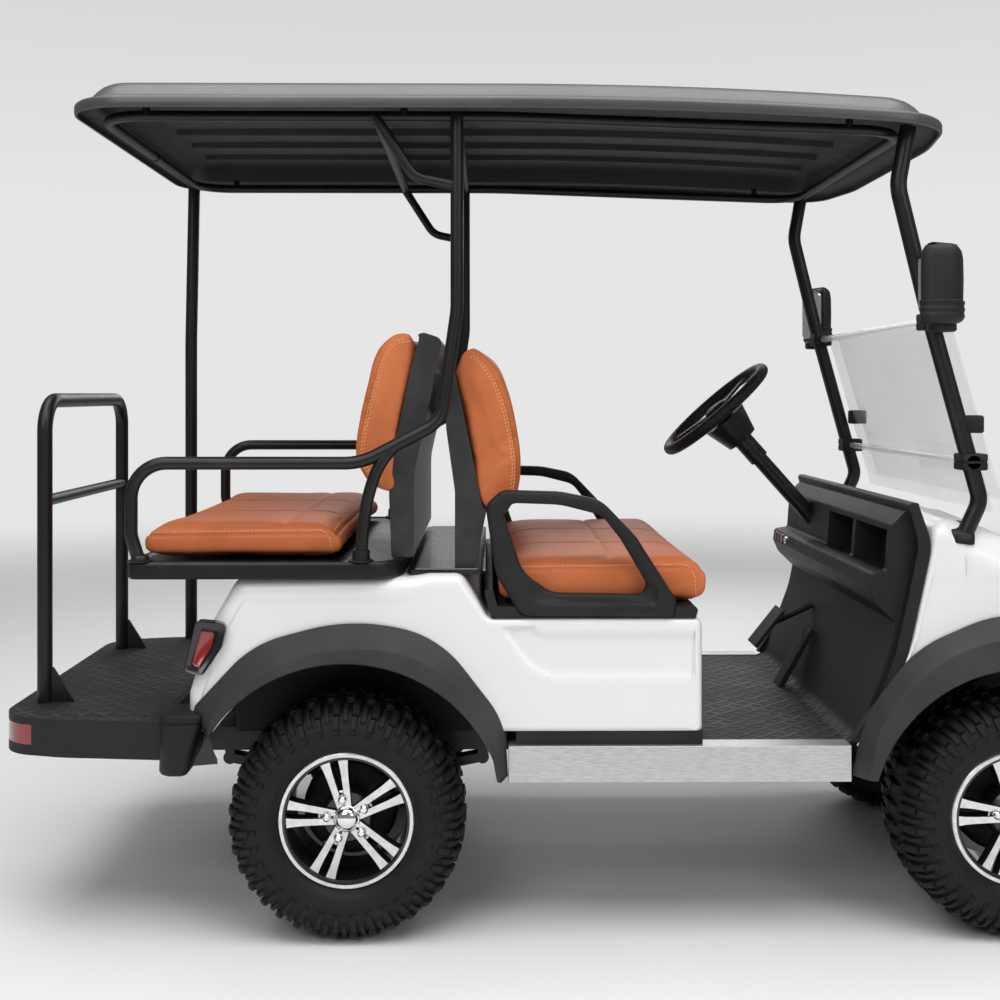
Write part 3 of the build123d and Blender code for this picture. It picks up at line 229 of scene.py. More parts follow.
def roof_black():
    """Roof moulding: satin black with a soft sheen and shallow waviness."""
    p = Paint("roof_black")
    shade = p.mix(p.noise(3.5, 4).step(0.3, 0.7), (0.046, 0.048, 0.051), (0.062, 0.064, 0.068))
    wave = p.noise(6, 2) * 0.5 + p.noise(900, 2) * 0.06
    return p.set(Base_Color=shade, Roughness=p.noise(18, 3) * 0.12 + 0.33,
                 Normal=p.bump(wave, 0.0012, 0.35), Coat_Weight=0.12, Coat_Roughness=0.2)


def leather():
    """Tan leather: pebble grain, fine creases and mottled colour, with painted shade darkening the low
    places of the grain and creases.
    """
    p = Paint("tan_leather")
    warp = p.node("ShaderNodeVectorMath", {"operation": "MULTIPLY_ADD"}, {
        0: p.node("ShaderNodeTexNoise", None, {"Vector": p.place(), "Scale": 90.0}, output="Color"),
        1: (0.0016, 0.0016, 0.0016), 2: p.place()})
    pebble = p.cells(420, "DISTANCE_TO_EDGE", warp).step(0.0, 0.22)
    crease = p.cells(95, "DISTANCE_TO_EDGE", warp).step(0.0, 0.05)
    soft = p.noise(5.5, 5, roughness=0.6)
    shade = p.mix(soft.step(0.30, 0.72), (0.55, 0.148, 0.048), (0.69, 0.205, 0.074))
    # painted shade: the pebble grain's and the creases' low places are mixed towards a darker tan
    shade = p.mix((1 - pebble) * 0.30 + (1 - crease) * 0.10, shade, (0.38, 0.095, 0.030))
    height = pebble * 0.6 + crease * 0.4 + p.noise(900, 2) * 0.25
    return p.set(Base_Color=shade, Roughness=soft * 0.14 + (1 - pebble) * 0.10 + 0.44,
                 Normal=p.bump(height, 0.0003, 0.40), Specular_IOR_Level=0.24)


def rubber():
    """Tyre rubber: matt black, dusty in the low places, finely pitted."""
    p = Paint("tyre_rubber")
    dust = p.noise(16, 6, roughness=0.65).step(0.45, 0.8)
    shade = p.mix(dust, (0.007, 0.007, 0.007), (0.017, 0.0165, 0.016))
    return p.set(Base_Color=shade, Roughness=dust * 0.14 + 0.60,
                 Normal=p.bump(p.noise(700, 4), 0.0003, 0.6), Specular_IOR_Level=0.28)


def machined_alloy(axle_x):
    """Turned aluminium: fine rings about the axle, with a little uneven polish."""
    p = Paint("machined_alloy")
    x, _, z = p.axes()
    out = ((x - axle_x) ** 2 + (z - AXLE_Z / 1000) ** 2) ** 0.5
    rings = (out * 5200).sine()
    shade = p.mix(p.noise(60, 4).step(0.3, 0.7), (0.66, 0.67, 0.68), (0.80, 0.80, 0.81))
    return p.set(Base_Color=shade, Metallic=1.0, Roughness=p.noise(40, 4) * 0.12 + 0.20,
                 Normal=p.bump(rings, 0.00005, 0.35))


def plain_metal(name, low, high, rough, grain, depth, metallic=1.0):
    """Metal with a mottled tone and a cast or drawn surface."""
    p = Paint(name)
    return p.set(Base_Color=p.mix(p.noise(grain / 8, 5).step(0.3, 0.7), low, high),
                 Metallic=metallic, Roughness=p.noise(grain / 3, 4) * 0.14 + rough,
                 Normal=p.bump(p.noise(grain * 5, 4), depth, 0.6))


def painted_gloss(name, low, high, rough):
    """Gloss paint in rim pockets and small mouldings."""
    p = Paint(name)
    return p.set(Base_Color=p.mix(p.noise(20, 3).step(0.3, 0.7), low, high),
                 Roughness=p.noise(40, 3) * 0.08 + rough, Coat_Weight=0.4, Coat_Roughness=0.08,
                 Normal=p.bump(p.noise(500, 2), 0.0002, 0.3))


def facing_up(p):
    """1 on faces that look up, 0 on upright ones."""
    normal = p.node("ShaderNodeNewGeometry", output="Normal")
    split = p.node("ShaderNodeSeparateXYZ", None, {0: normal}, output=2)
    return split.step(0.55, 0.85)


def tread_height(p, pitch):
    """Raised bars in a chequer on level faces, each cell's bar square to the next one's: a bar
    is where the distance across it is small and the distance along it is under its length."""
    x, y, _ = p.axes()
    s = (x + y) * 0.70711
    t = (x - y) * 0.70711

    def bars(along, across, start, aside):
        near = (along + start).cell(pitch * 2)
        side = (across + aside).cell(pitch * 2)
        return near.step(pitch * 0.80, pitch * 0.62) * side.step(pitch * 0.24, pitch * 0.12)
    pattern = bars(s, t, 0.0, 0.0).most(bars(t, s, 0.0, pitch)).most(bars(s, t, pitch, pitch))
    return pattern.most(bars(t, s, pitch, 0.0)) * facing_up(p)


def tread_mat(name, low, high, rough, pitch=0.040):
    """Moulded mat with raised tread bars, paler in patches on the bars where feet rub them, and with
    painted top light making every upward face paler.
    """
    p = Paint(name)
    bars = tread_height(p, pitch)
    worn = bars * p.noise(7, 4).step(0.35, 0.65)
    # worn is real wear on the bars; facing_up(p) * 0.12 is painted light, a paler tone on every face
    # that looks up
    shade = p.mix(worn * 0.6 + facing_up(p) * 0.12, low, high)
    height = bars + p.noise(800, 3) * 0.08
    return p.set(Base_Color=shade, Roughness=rough - worn * 0.10,
                 Normal=p.bump(height, 0.005, 0.9), Specular_IOR_Level=0.35)


def step_metal():
    """Bare aluminium step: small raised dots in rows, brushed along its length."""
    p = Paint("step_aluminium")
    brushed = p.noise(40, 4, p.node("ShaderNodeMapping", None, {
        "Vector": p.place(), "Scale": (1.0, 14.0, 14.0)}))
    dots = p.cells(150, "F1").step(0.34, 0.16)
    shade = p.mix(brushed.step(0.3, 0.75), (0.50, 0.51, 0.52), (0.70, 0.70, 0.71))
    return p.set(Base_Color=shade, Metallic=0.9, Roughness=brushed * 0.16 + 0.34,
                 Normal=p.bump(dots * 0.6 + brushed * 0.4, 0.0006, 0.5))


def clear_sheet(name, solid):
    """Clear acrylic: nearly invisible, with faint smears in its gloss."""
    p = Paint(name)
    smear = p.noise(5, 5).step(0.45, 0.75)
    return p.set(Base_Color=(0.86, 0.90, 0.90), Roughness=smear * 0.08 + 0.03,
                 Alpha=smear * 0.05 + solid, IOR=1.49, Specular_IOR_Level=0.8)


def lens(name, deep, pale):
    """Moulded lens: fine flutes under a smooth gloss face."""
    p = Paint(name)
    x, y, z = p.axes()
    flutes = ((x + z) * 900).sine() * ((y * 900).sine())
    return p.set(Base_Color=p.mix(flutes.step(-0.6, 0.9), deep, pale), Roughness=0.16,
                 Normal=p.bump(flutes, 0.0004, 0.4), Coat_Weight=1.0, Coat_Roughness=0.03)


def thread():
    """Waxed orange thread, twisted."""
    p = Paint("orange_thread")
    x, y, z = p.axes()
    twist = ((x + y + z) * 4200).sine()
    return p.set(Base_Color=p.mix(twist.step(-0.5, 0.8), (0.80, 0.36, 0.14), (0.95, 0.56, 0.28)),
                 Roughness=0.55, Normal=p.bump(twist, 0.0002, 0.5))


WHITE = gloss_white()
STEEL = satin_black()
PLASTIC = moulded("black_moulding", (0.008, 0.0085, 0.009), (0.015, 0.0155, 0.016), 0.42)
FLARE_PLASTIC = moulded("flare_moulding", (0.030, 0.032, 0.034), (0.044, 0.047, 0.050), 0.46)
DASH_PLASTIC = moulded("dash_moulding", (0.007, 0.007, 0.0075), (0.013, 0.013, 0.0135), 0.44)
GLOSS_BLACK = painted_gloss("gloss_black", (0.006, 0.006, 0.0065), (0.012, 0.012, 0.013), 0.22)
SHELL_BLACK = painted_gloss("shell_black", (0.020, 0.021, 0.022), (0.032, 0.033, 0.034), 0.36)
ROOF = roof_black()
# The roof's underside, the rim's inner lower edge and the ribs: the roof's own black painted far darker
# than its top, as painted shade under the roof.
ROOF_UNDERSIDE_SHADED = moulded("roof_underside_painted_shade", (0.0035, 0.0035, 0.004), (0.007, 0.007, 0.0075), 0.45)
PEDAL_RUBBER = tread_mat("pedal_rubber", (0.010, 0.010, 0.011), (0.030, 0.030, 0.031), 0.55, 0.012)
LEATHER = leather()
THREAD = thread()
RUBBER = rubber()
ALLOY_REAR = machined_alloy(-ORIGIN_X / 1000)
ALLOY_FRONT = machined_alloy((FRONT_X - ORIGIN_X) / 1000)
CHROME = plain_metal("bright_chrome", (0.72, 0.72, 0.73), (0.82, 0.82, 0.83), 0.06, 60, 0.0)
CAST = plain_metal("cast_metal", (0.060, 0.060, 0.062), (0.11, 0.11, 0.11), 0.42, 120, 0.0006, 0.7)
DRUM_IRON = plain_metal("drum_iron", (0.010, 0.010, 0.010), (0.022, 0.021, 0.020), 0.55, 120,
                        0.0006, 0.2)
MACHINE = plain_metal("machine_grey", (0.10, 0.105, 0.11), (0.15, 0.155, 0.16), 0.42, 60, 0.0003, 0.3)
MIRROR = plain_metal("mirror_glass", (0.80, 0.82, 0.84), (0.84, 0.85, 0.86), 0.02, 20, 0.0)
MAT = tread_mat("floor_mat", (0.013, 0.0135, 0.014), (0.060, 0.061, 0.062), 0.60)
STEP = step_metal()
CLEAR = clear_sheet("clear_acrylic", 0.17)
CLEAR_TUBE = clear_sheet("clear_tube", 0.42)
RED_LENS = lens("red_lens", (0.14, 0.004, 0.004), (0.38, 0.014, 0.012))
CLEAR_LENS = lens("clear_lens", (0.55, 0.58, 0.60), (0.86, 0.88, 0.90))
CABLE = moulded("black_rubber", (0.009, 0.009, 0.0095), (0.016, 0.016, 0.0165), 0.60)


# ---- Mesh helpers ----------------------------------------------------------------------------
def put(points):
    """Millimetres from the rear axle to the frame's metres."""
    return (np.asarray(points, float) - (ORIGIN_X, 0.0, 0.0)) / 1000.0


def from_frame(points):
    """The frame's metres to millimetres from the rear axle."""
    return np.asarray(points, float) * 1000 + (ORIGIN_X, 0, 0)


def quads(rows, columns, close_rows=False, close_columns=False):
    """Corner numbers of a grid's faces, its points numbered row by row."""
    i = np.arange(rows if close_rows else rows - 1)[:, None]
    j = np.arange(columns if close_columns else columns - 1)[None, :]
    down, right = (i + 1) % rows, (j + 1) % columns
    corners = np.stack([i * columns + j, i * columns + right, down * columns + right,
                        down * columns + j], axis=-1)
    return corners.reshape(-1, 4)


def piece(name, points, faces, material, body="chassis", smooth=40.0, marks=None, merge=0.01):
    """A mesh object in the frame from points in mm, riding on a body.  marks gives each face's
    material number when material is a list; smooth is the angle past which an edge is sharp;
    points nearer than merge (mm) become one, and the faces are turned to point out."""
    mesh = bpy.data.meshes.new(name)
    faces = [list(map(int, face)) for face in faces]
    mesh.from_pydata(put(points).tolist(), [], faces)
    for one in material if isinstance(material, (list, tuple)) else (material,):
        mesh.materials.append(one)
    if marks is not None:
        mesh.polygons.foreach_set("material_index", np.asarray(marks, dtype=np.int32))
    made = finish_mesh(name, mesh, body, smooth)
    outward(made, merge)
    return made


def linked(name, data):
    """An object in the scene for a mesh, lamp or camera."""
    made = bpy.data.objects.new(name, data)
    SCENE.collection.objects.link(made)
    return made


def finish_mesh(name, mesh, body, smooth):
    """Shading by angle, the object itself and its body."""
    mesh.polygons.foreach_set("use_smooth", np.ones(len(mesh.polygons), dtype=bool))
    mesh.set_sharp_from_angle(angle=radians(smooth))
    made = linked(name, mesh)
    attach(made, body)
    return made


def outward(made, merge):
    """Near points merged (mm), and faces turned to point out."""
    work = bmesh.new()
    work.from_mesh(made.data)
    bmesh.ops.remove_doubles(work, verts=work.verts, dist=merge / 1000)
    bmesh.ops.recalc_face_normals(work, faces=work.faces)
    work.to_mesh(made.data)
    work.free()


def modifier(made, kind, **settings):
    """A modifier with its settings."""
    added = made.modifiers.new(kind.lower(), kind)
    for key, value in settings.items():
        setattr(added, key, value)
    return added


def rounded(node, width, material):
    """A copy of a CAD node with its loose triangles merged, flat faces joined and its edges
    rounded by a bevel; it stands for the node."""
    source = NODES[node]
    mesh = source.data.copy()
    mesh.materials.clear()
    mesh.materials.append(material)
    work = bmesh.new()
    work.from_mesh(mesh)
    bmesh.ops.remove_doubles(work, verts=work.verts, dist=2e-5)
    bmesh.ops.dissolve_limit(work, angle_limit=radians(1.0), verts=work.verts, edges=work.edges)
    work.to_mesh(mesh)
    work.free()
    made = finish_mesh(f"{node}_finished", mesh, source["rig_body"], 40.0)
    modifier(made, "BEVEL", width=width / 1000, segments=3, limit_method="ANGLE",
             angle_limit=radians(32.0), use_clamp_overlap=True, harden_normals=True)
    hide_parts(node)


CAD_FINISH = {
    "chassis_frame": STEEL, "rear_axle": CAST, "drive_motor": MACHINE, "battery_pack": MACHINE,
    "rear_suspension": STEEL, "front_suspension": STEEL, "floor_pan": MAT, "side_sills": STEP,
    "front_cowl": WHITE, "cowl_trim": PLASTIC, "dashboard": DASH_PLASTIC, "front_bumper": PLASTIC,
    "headlamps": CLEAR_LENS, "rear_body": WHITE, "body_skirt": PLASTIC, "corner_bumpers": PLASTIC,
    "arch_flares": FLARE_PLASTIC, "rear_lamps": RED_LENS, "seat_deck": PLASTIC,
    "seat_backs": LEATHER, "seat_back_shells": SHELL_BLACK, "front_armrests": PLASTIC,
    "rear_seat_pan": STEEL, "rear_seat_cushion": LEATHER, "side_rails": STEEL,
    "roof_braces": STEEL, "rear_post": STEEL, "screen_pillars": STEEL, "roof_panel": ROOF,
    "roof_frame": STEEL, "windscreen": CLEAR, "screen_clamps": PLASTIC, "mirrors": PLASTIC,
    "rear_platform": MAT, "grab_bar": STEEL, "steering_column": STEEL, "pedals": PLASTIC,
    "knuckle_left": CAST, "knuckle_right": CAST, "tie_rod": CAST, "steering_wheel": PLASTIC,
    "front_seat_cushion": LEATHER,
}
for row, hand in WHEELS:
    CAD_FINISH[f"tyre_{row}_{hand}"] = RUBBER
    CAD_FINISH[f"rim_{row}_{hand}"] = GLOSS_BLACK


def dress_nodes():
    """Each CAD node's own material."""
    for node, material in CAD_FINISH.items():
        mesh = NODES[node].data
        mesh.materials.clear()
        mesh.materials.append(material)


dress_nodes()


# ---- Curves ----------------------------------------------------------------------------------
STRAIGHT = 0.01              # half turn in radians below which a corner stays a point


def smooth_line(points, count, closed=False):
    """A curve through points, spaced evenly along its chords: between two points it is the
    cubic whose slope at each point is the run from the point before to the point after."""
    points = np.asarray(points, float)
    if closed:
        points = np.vstack([points, points[:1]])
    gaps = np.linalg.norm(np.diff(points, axis=0), axis=1)
    at = np.concatenate([[0.0], np.cumsum(gaps)])
    slopes = np.gradient(points, at, axis=0)
    if closed:
        turn = (points[1] - points[-2]) / (gaps[0] + gaps[-1])
        slopes[0] = slopes[-1] = turn
    want = np.linspace(0.0, at[-1], count, endpoint=not closed)
    i = np.clip(np.searchsorted(at, want, side="right") - 1, 0, len(gaps) - 1)
    h = gaps[i][:, None]
    s = ((want - at[i]) / gaps[i])[:, None]
    return ((2 * s**3 - 3 * s**2 + 1) * points[i] + (s**3 - 2 * s**2 + s) * h * slopes[i]
            + (3 * s**2 - 2 * s**3) * points[i + 1] + (s**3 - s**2) * h * slopes[i + 1])


def unit(vectors):
    """Vectors brought to length one."""
    return vectors / np.linalg.norm(vectors, axis=-1, keepdims=True)


def corner_arc(before, here, after, radius, most, steps):
    """The arc tangent to a corner's two runs.  Its reach along them is the radius times the
    tangent of half the turn, and no more than a share (most) of either run."""
    back, ahead = before - here, after - here
    long_back, long_ahead = np.linalg.norm(back), np.linalg.norm(ahead)
    back, ahead = back / long_back, ahead / long_ahead
    half = (pi - np.arccos(np.clip(back @ ahead, -1, 1))) / 2
    if not radius or half < STRAIGHT:
        return here[None, :]
    reach = min(radius * tan(half), most * long_back, most * long_ahead)
    true = reach / tan(half)
    centre = here + unit(back + ahead) * true / cos(half)
    start, end = here + back * reach - centre, here + ahead * reach - centre
    share = np.linspace(0, 1, steps + 1)[:, None]
    arc = np.sin((1 - share) * 2 * half) * start + np.sin(share * 2 * half) * end
    return centre + arc / sin(2 * half)


def filleted(rows, steps, closed=True):
    """A line through rows of (a, b, corner radius) with an arc at each corner."""
    corners = np.array([row[:2] for row in rows], float)
    count = len(corners)
    spans = []
    for i, row in enumerate(rows):
        radius = 0 if not closed and i in (0, count - 1) else row[2]
        spans.append(corner_arc(corners[i - 1], corners[i], corners[(i + 1) % count], radius,
                                0.48, steps))
    return np.vstack(spans)


def lengths_along(line):
    """How far along a line each of its points is."""
    return np.concatenate([[0.0], np.cumsum(np.linalg.norm(np.diff(line, axis=0), axis=1))])


def sampled(rows, run, want):
    """Rows of numbers given at places along a run, taken at other places between them."""
    return np.stack([np.interp(want, run, column) for column in rows.T], axis=-1)


def inward_of(ring):
    """Each point's direction into a closed plan or side-view line."""
    slope = unit(np.roll(ring, -1, axis=0) - np.roll(ring, 1, axis=0))
    inward = np.stack([-slope[:, 1], slope[:, 0]], axis=1)
    return inward * np.sign(((ring.mean(axis=0) - ring) * inward).sum())


def joined(parts):
    """Several (points, faces) or (points, faces, marks) as one; marks is a material number for
    the whole part, or one for each of its faces."""
    starts = np.cumsum([0] + [len(part[0]) for part in parts])
    points = np.vstack([part[0] for part in parts])
    faces, marks = [], []
    for start, part in zip(starts, parts):
        faces += [[int(corner) + int(start) for corner in face] for face in part[1]]
        mark = part[2] if len(part) > 2 else 0
        marks += np.broadcast_to(mark, len(part[1])).tolist()
    return points, faces, marks


def built(name, parts, material, **how):
    """One piece of several parts, as joined() takes them."""
    points, faces, marks = joined(parts)
    return piece(name, points, faces, material, marks=marks, **how)


def both_sides(points, faces):
    """The points and faces of a piece and of its mirror image across the cart's middle."""
    points, faces, _ = joined([(points, faces), (points * (1, -1, 1), faces)])
    return points, faces


def between(first, second, share):
    """Points a share of the way from one line to another."""
    return first + (second - first) * share


def swept(path, across, up, profile):
    """A closed profile of (across, up) carried along a path and capped at both ends; the profile
    may differ at each step."""
    path, profile = np.asarray(path, float), np.asarray(profile, float)
    if profile.ndim == 2:
        profile = np.broadcast_to(profile, (len(path), *profile.shape))
    across = np.broadcast_to(np.asarray(across, float), path.shape)[:, None, :]
    up = np.broadcast_to(np.asarray(up, float), path.shape)[:, None, :]
    points = path[:, None, :] + profile[..., :1] * across + profile[..., 1:] * up
    rows, columns = profile.shape[:2]
    faces = quads(rows, columns, close_columns=True).tolist()
    faces += [list(range(columns)), list(range((rows - 1) * columns, rows * columns))]
    return points.reshape(-1, 3), faces


def turned(section, count, closed=False):
    """A section of (radius, out) carried round the Y axis."""
    angle = np.linspace(0, 2 * pi, count, endpoint=False)[:, None]
    radius, out = np.asarray(section, float).T
    x, z = radius * np.cos(angle), radius * np.sin(angle)
    points = np.stack([x, np.broadcast_to(out, x.shape), z], axis=-1).reshape(-1, 3)
    return points, quads(count, len(section), close_rows=True, close_columns=closed).tolist()


def bent_line(points, bends, steps):
    """A line in space with an arc at each corner."""
    points = np.asarray(points, float)
    arcs = [corner_arc(points[i - 1], points[i], points[i + 1], bends[i], 0.49, steps)
            for i in range(1, len(points) - 1)]
    return np.vstack([points[:1], *arcs, points[-1:]])


def round_bar(path, radius, sides):
    """A round bar along close points; radius may be a list with one for each point."""
    path = np.asarray(path, float)
    along = unit(np.gradient(path, axis=0))
    least = np.argmin(np.abs(along).max(axis=0))
    side = unit(np.cross(along, np.eye(3)[least]))
    up = np.cross(along, side)
    angle = np.linspace(0, 2 * pi, sides, endpoint=False)
    ring = np.stack([np.cos(angle), np.sin(angle)], axis=1)
    profile = np.broadcast_to(np.asarray(radius, float).reshape(-1, 1, 1), (len(path), 1, 1)) * ring
    return swept(path, side, up, profile)


def wheel_place(points, row, hand):
    """A wheel drawn about its own middle, outer face at +Y, moved to its corner of the cart."""
    side = 1.0 if hand == "left" else -1.0
    x = FRONT_X if row == "front" else 0.0
    return points * (side, side, 1.0) + (x, side * WHEEL_Y, AXLE_Z)


# ---- Tyres -----------------------------------------------------------------------------------
CARCASS = (                  # half section from the bead to the crown, (radius, out from middle)
    (153, 83), (166, 84), (170, 92), (181, 104), (202, 114), (224, 117), (231, 119), (236, 117),
    (252, 110), (266, 98), (273, 80), (277, 50), (278, 0),
)
SIDE_RINGS = ((228.0, 2.2, 3.0), (183.0, 1.4, 2.5))      # radius, height, half width
LUGS = (                     # along the section from its middle: start, end; half widths across
    # the start and end; skew; height; how many; phase; thickness left at the end
    (3, 46, 15, 13, 9, 13.5, 36, 0.0),
    (52, 112, 12, 11, 4, 14.0, 36, 0.5),
    (108, 158, 10.5, 9, 0, 8.5, 36, 0.5),
    (58, 128, 7, 8, 2, 9.0, 36, 0.0),
)


def carcass_section():
    """The tyre's whole section as (radius, out), from bead to bead, with its raised rings."""
    half = smooth_line(CARCASS, 44)
    for at, height, wide in SIDE_RINGS:
        rise = height * np.exp(-((half[:, 0] - at) / wide) ** 2)
        half[:, 1] += np.where(half[:, 1] > 90, rise, 0)
    other = half[-2::-1] * (1, -1)
    return np.vstack([half, other])


def lug_points(row, side):
    """Lugs of one row: a grid over the section (s) and the tread's round (t).  The outer ring
    of the grid is sunk under the carcass, the rest stands off it, lower towards the end."""
    start, end, wide, narrow, skew, height, count, phase = row
    section = carcass_section()
    middle = len(section) // 2
    half = section[middle::-1] if side > 0 else section[middle:]
    run = lengths_along(half)
    slope = np.gradient(half, run, axis=0)
    normal = np.stack([np.abs(slope[:, 1]), -slope[:, 0] * np.sign(slope[:, 1] + 1e-9)], axis=1)
    normal /= np.linalg.norm(normal, axis=1)[:, None]
    across = np.array([0.0, 0.10, 0.36, 0.64, 0.90, 1.0])
    around = np.array([-1.0, -0.74, 0.0, 0.74, 1.0])
    s = start + (end - start) * across
    t = (wide + (narrow - wide) * across)[:, None] * around + (skew * across)[:, None]
    inner = np.ones((len(across), len(around)))
    inner[[0, -1], :] = 0
    inner[:, [0, -1]] = 0
    lift = np.where(inner > 0, height, -2.0)
    lift = lift - 1.6 * (np.abs(around) > 0.5)[None, :] * inner
    base, up = sampled(half, run, s), sampled(normal, run, s)
    r = base[:, :1] + up[:, :1] * lift
    y = base[:, 1:] + up[:, 1:] * lift
    angle = t / TYRE_R + ((np.arange(count) + phase) * 2 * pi / count)[:, None, None]
    x, z = r * np.cos(angle), r * np.sin(angle)
    points = np.stack([x, np.broadcast_to(y, x.shape), z], axis=-1)
    faces = quads(len(across), len(around))
    faces = (faces[None] + (np.arange(count) * inner.size)[:, None, None]).reshape(-1, 4)
    return points.reshape(-1, 3), faces if side < 0 else faces[:, ::-1]


def tyre(row, hand):
    """Carcass turned about the axle with four rows of lugs a side."""
    parts = [turned(carcass_section(), 144)]
    parts += [lug_points(lug, side) for lug in LUGS for side in (-1, 1)]
    points, faces, _ = joined(parts)
    made = piece(f"tyre_tread_{row}_{hand}", wheel_place(points, row, hand), faces, RUBBER,
                 f"wheel_{row}_{hand}", smooth=50)
    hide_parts(f"tyre_{row}_{hand}")


for row, hand in WHEELS:
    tyre(row, hand)


# ---- Rims ------------------------------------------------------------------------------------
SPOKE_PAIRS = 5
PAIR_TURN = 6.0              # first pair's direction, degrees up from the nose side
BARREL = (                   # wheel barrel and lips, (radius, out)
    (146, 66), (146, 82), (149, 87), (153, 88.6), (163, 88.6), (166.5, 86), (166.5, 82), (160, 80),
    (152, 70), (149, 40), (147, -60), (152, -78), (164, -82), (166, -86), (163, -88.6),
    (150, -88.6), (146, -84), (145, -60), (143, 40),
)
DRUM = ((0, -16), (60, -16), (104, -18), (112, -22), (118, -30), (118, -70), (112, -74), (34, -74))
HUB = ((0, 60), (30, 62), (56, 64), (62, 58), (66, 40), (60, -14), (30, -16))
CAP = ((0, 88), (8, 87.4), (16, 85.4), (22, 82), (26, 77.5), (28, 74), (31, 72.6), (33, 70), (33, 62))
LIP = ((154, 85), (155, 88.9), (163, 88.9), (166, 87))
NUT = ((0, 83), (6, 82.6), (9.5, 80), (11, 77), (11, 62))
NUT_SEAT = ((11, 60), (17, 69), (19, 70), (21, 69), (22, 60))
NUT_CIRCLE_R = 49.0
BLADE_ENDS = (24.0, 157.0)   # along a pair's middle line, out from the axle
BLADE_ASIDE = 9.5            # a blade's middle off that line at its inner end
BLADE_SPREAD = 14.0          # and how much further off at its outer end
BLADE_STEPS = 9


def spoke(side):
    """One blade of a pair: straight, flat-topped, wider at its outer end, with sunk sides."""
    share = np.linspace(0, 1, BLADE_STEPS)
    run = BLADE_ENDS[1] - BLADE_ENDS[0]
    u = BLADE_ENDS[0] + run * share
    v = side * (BLADE_ASIDE + BLADE_SPREAD * share)
    top = 70 + 12.5 * share ** 1.4
    path = np.stack([u, top, v], axis=1)
    wide = 7.2 + 1.6 * share + 6.0 * share ** 6
    edges = ((-1, -3.5, -26.0), (-1, -1.2, -1.6), (-1, 0, 0), (1, 0, 0), (1, 1.2, -1.6),
             (1, 3.5, -26.0))                    # side, past the flat top, up
    profile = np.stack([np.stack([hand * wide + past, np.full(BLADE_STEPS, float(up))], axis=1)
                        for hand, past, up in edges], axis=1)
    lean = unit(np.array([-side * BLADE_SPREAD, 0.0, run]))
    points, faces = swept(path, lean, (0, 1, 0), profile)
    top_face = 2
    marks = [int(i % len(edges) == top_face) for i in range(len(faces) - 2)] + [0, 0]
    return points, faces, marks


def about_axle(points, degrees):
    """Points turned about the wheel's own Y axis, from +X towards +Z."""
    a = radians(degrees)
    turn = np.array([[cos(a), 0, sin(a)], [0, 1, 0], [-sin(a), 0, cos(a)]])
    return points @ turn


def rim(row, hand):
    """Barrel, drum and hub turned about the axle, five pairs of machined blades, cap and nuts."""
    black, bright, chrome, iron = range(4)
    parts = [(*turned(BARREL, 128, closed=True), black), (*turned(DRUM, 96), iron),
             (*turned(HUB, 64), black), (*turned(LIP, 128), bright), (*turned(CAP, 48), chrome)]
    for i in range(SPOKE_PAIRS):
        turn = PAIR_TURN + i * 360 / SPOKE_PAIRS
        for side in (-1, 1):
            blade, faces, marks = spoke(side)
            parts.append((about_axle(blade, turn), faces, marks))
        for section, count, mark in ((NUT, 18, chrome), (NUT_SEAT, 20, bright)):
            ring, faces = turned(section, count)
            parts.append((about_axle(ring + (NUT_CIRCLE_R, 0, 0), turn), faces, mark))
    points, faces, marks = joined(parts)
    alloy = ALLOY_FRONT if row == "front" else ALLOY_REAR
    made = piece(f"alloy_rim_{row}_{hand}", wheel_place(points, row, hand), faces,
                 (GLOSS_BLACK, alloy, CHROME, DRUM_IRON), f"wheel_{row}_{hand}", smooth=30,
                 marks=marks)
    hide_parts(f"rim_{row}_{hand}")


for row, hand in WHEELS:
    rim(row, hand)


# ---- Painted shells --------------------------------------------------------------------------
ARCH_R = 388.0
FRONT_ARCH_R = 372.0
REAR_WELL_Y = 338.0          # the wells' flat inner walls
FRONT_WELL_Y = 216.0         # further in, clear of the steered tyres
WELL_FOOT_Z = 452.0
SHELL_WALL = 4.0
SHOULDER_STEPS = 7
SIDE_STEPS = 26


def along(rows, count):
    """Even stations on a filleted open line of (a, b, fillet, *values): the stations' places,
    their inward normals and the values, which run linearly between the corners."""
    corners = np.array([row[:2] for row in rows], float)
    line = filleted([row[:3] for row in rows], 8, closed=False)
    near = np.linalg.norm(np.diff(line, axis=0), axis=1)
    keep = np.concatenate([[True], near > 1e-6])
    line = line[keep]
    legs = np.diff(corners, axis=0)
    long = np.linalg.norm(legs, axis=1)
    share = ((line[:, None] - corners[:-1]) * legs).sum(-1) / long ** 2
    share = np.clip(share, 0, 1)
    off = np.linalg.norm(corners[:-1] + share[..., None] * legs - line[:, None], axis=-1)
    leg = off.argmin(axis=1)
    station = leg + share[np.arange(len(line)), leg]
    run = lengths_along(line)
    want = np.linspace(0, run[-1], count)
    place = sampled(line, run, want)
    station = np.interp(want, run, np.maximum.accumulate(station))
    values = np.array([row[3:] for row in rows], float)
    values = sampled(values, np.arange(len(rows)), station)
    slope = unit(np.gradient(place, axis=0))
    return place, np.stack([slope[:, 1], -slope[:, 0]], axis=1), values


def edge_line(points):
    """Points of an open line by the share of its length."""
    points = np.asarray(points, float)
    run = lengths_along(points)

    def at(share):
        return sampled(points, run, share * run[-1])
    return at


def arch_points(centre_x, radius, low_z, count=40):
    """Points of a wheel arch from its rear foot over the top to its front foot, at a height."""
    foot = np.arcsin((low_z - AXLE_Z) / radius)
    angle = np.linspace(pi - foot, foot, count)
    return np.stack([centre_x + radius * np.cos(angle), AXLE_Z + radius * np.sin(angle)], axis=1)


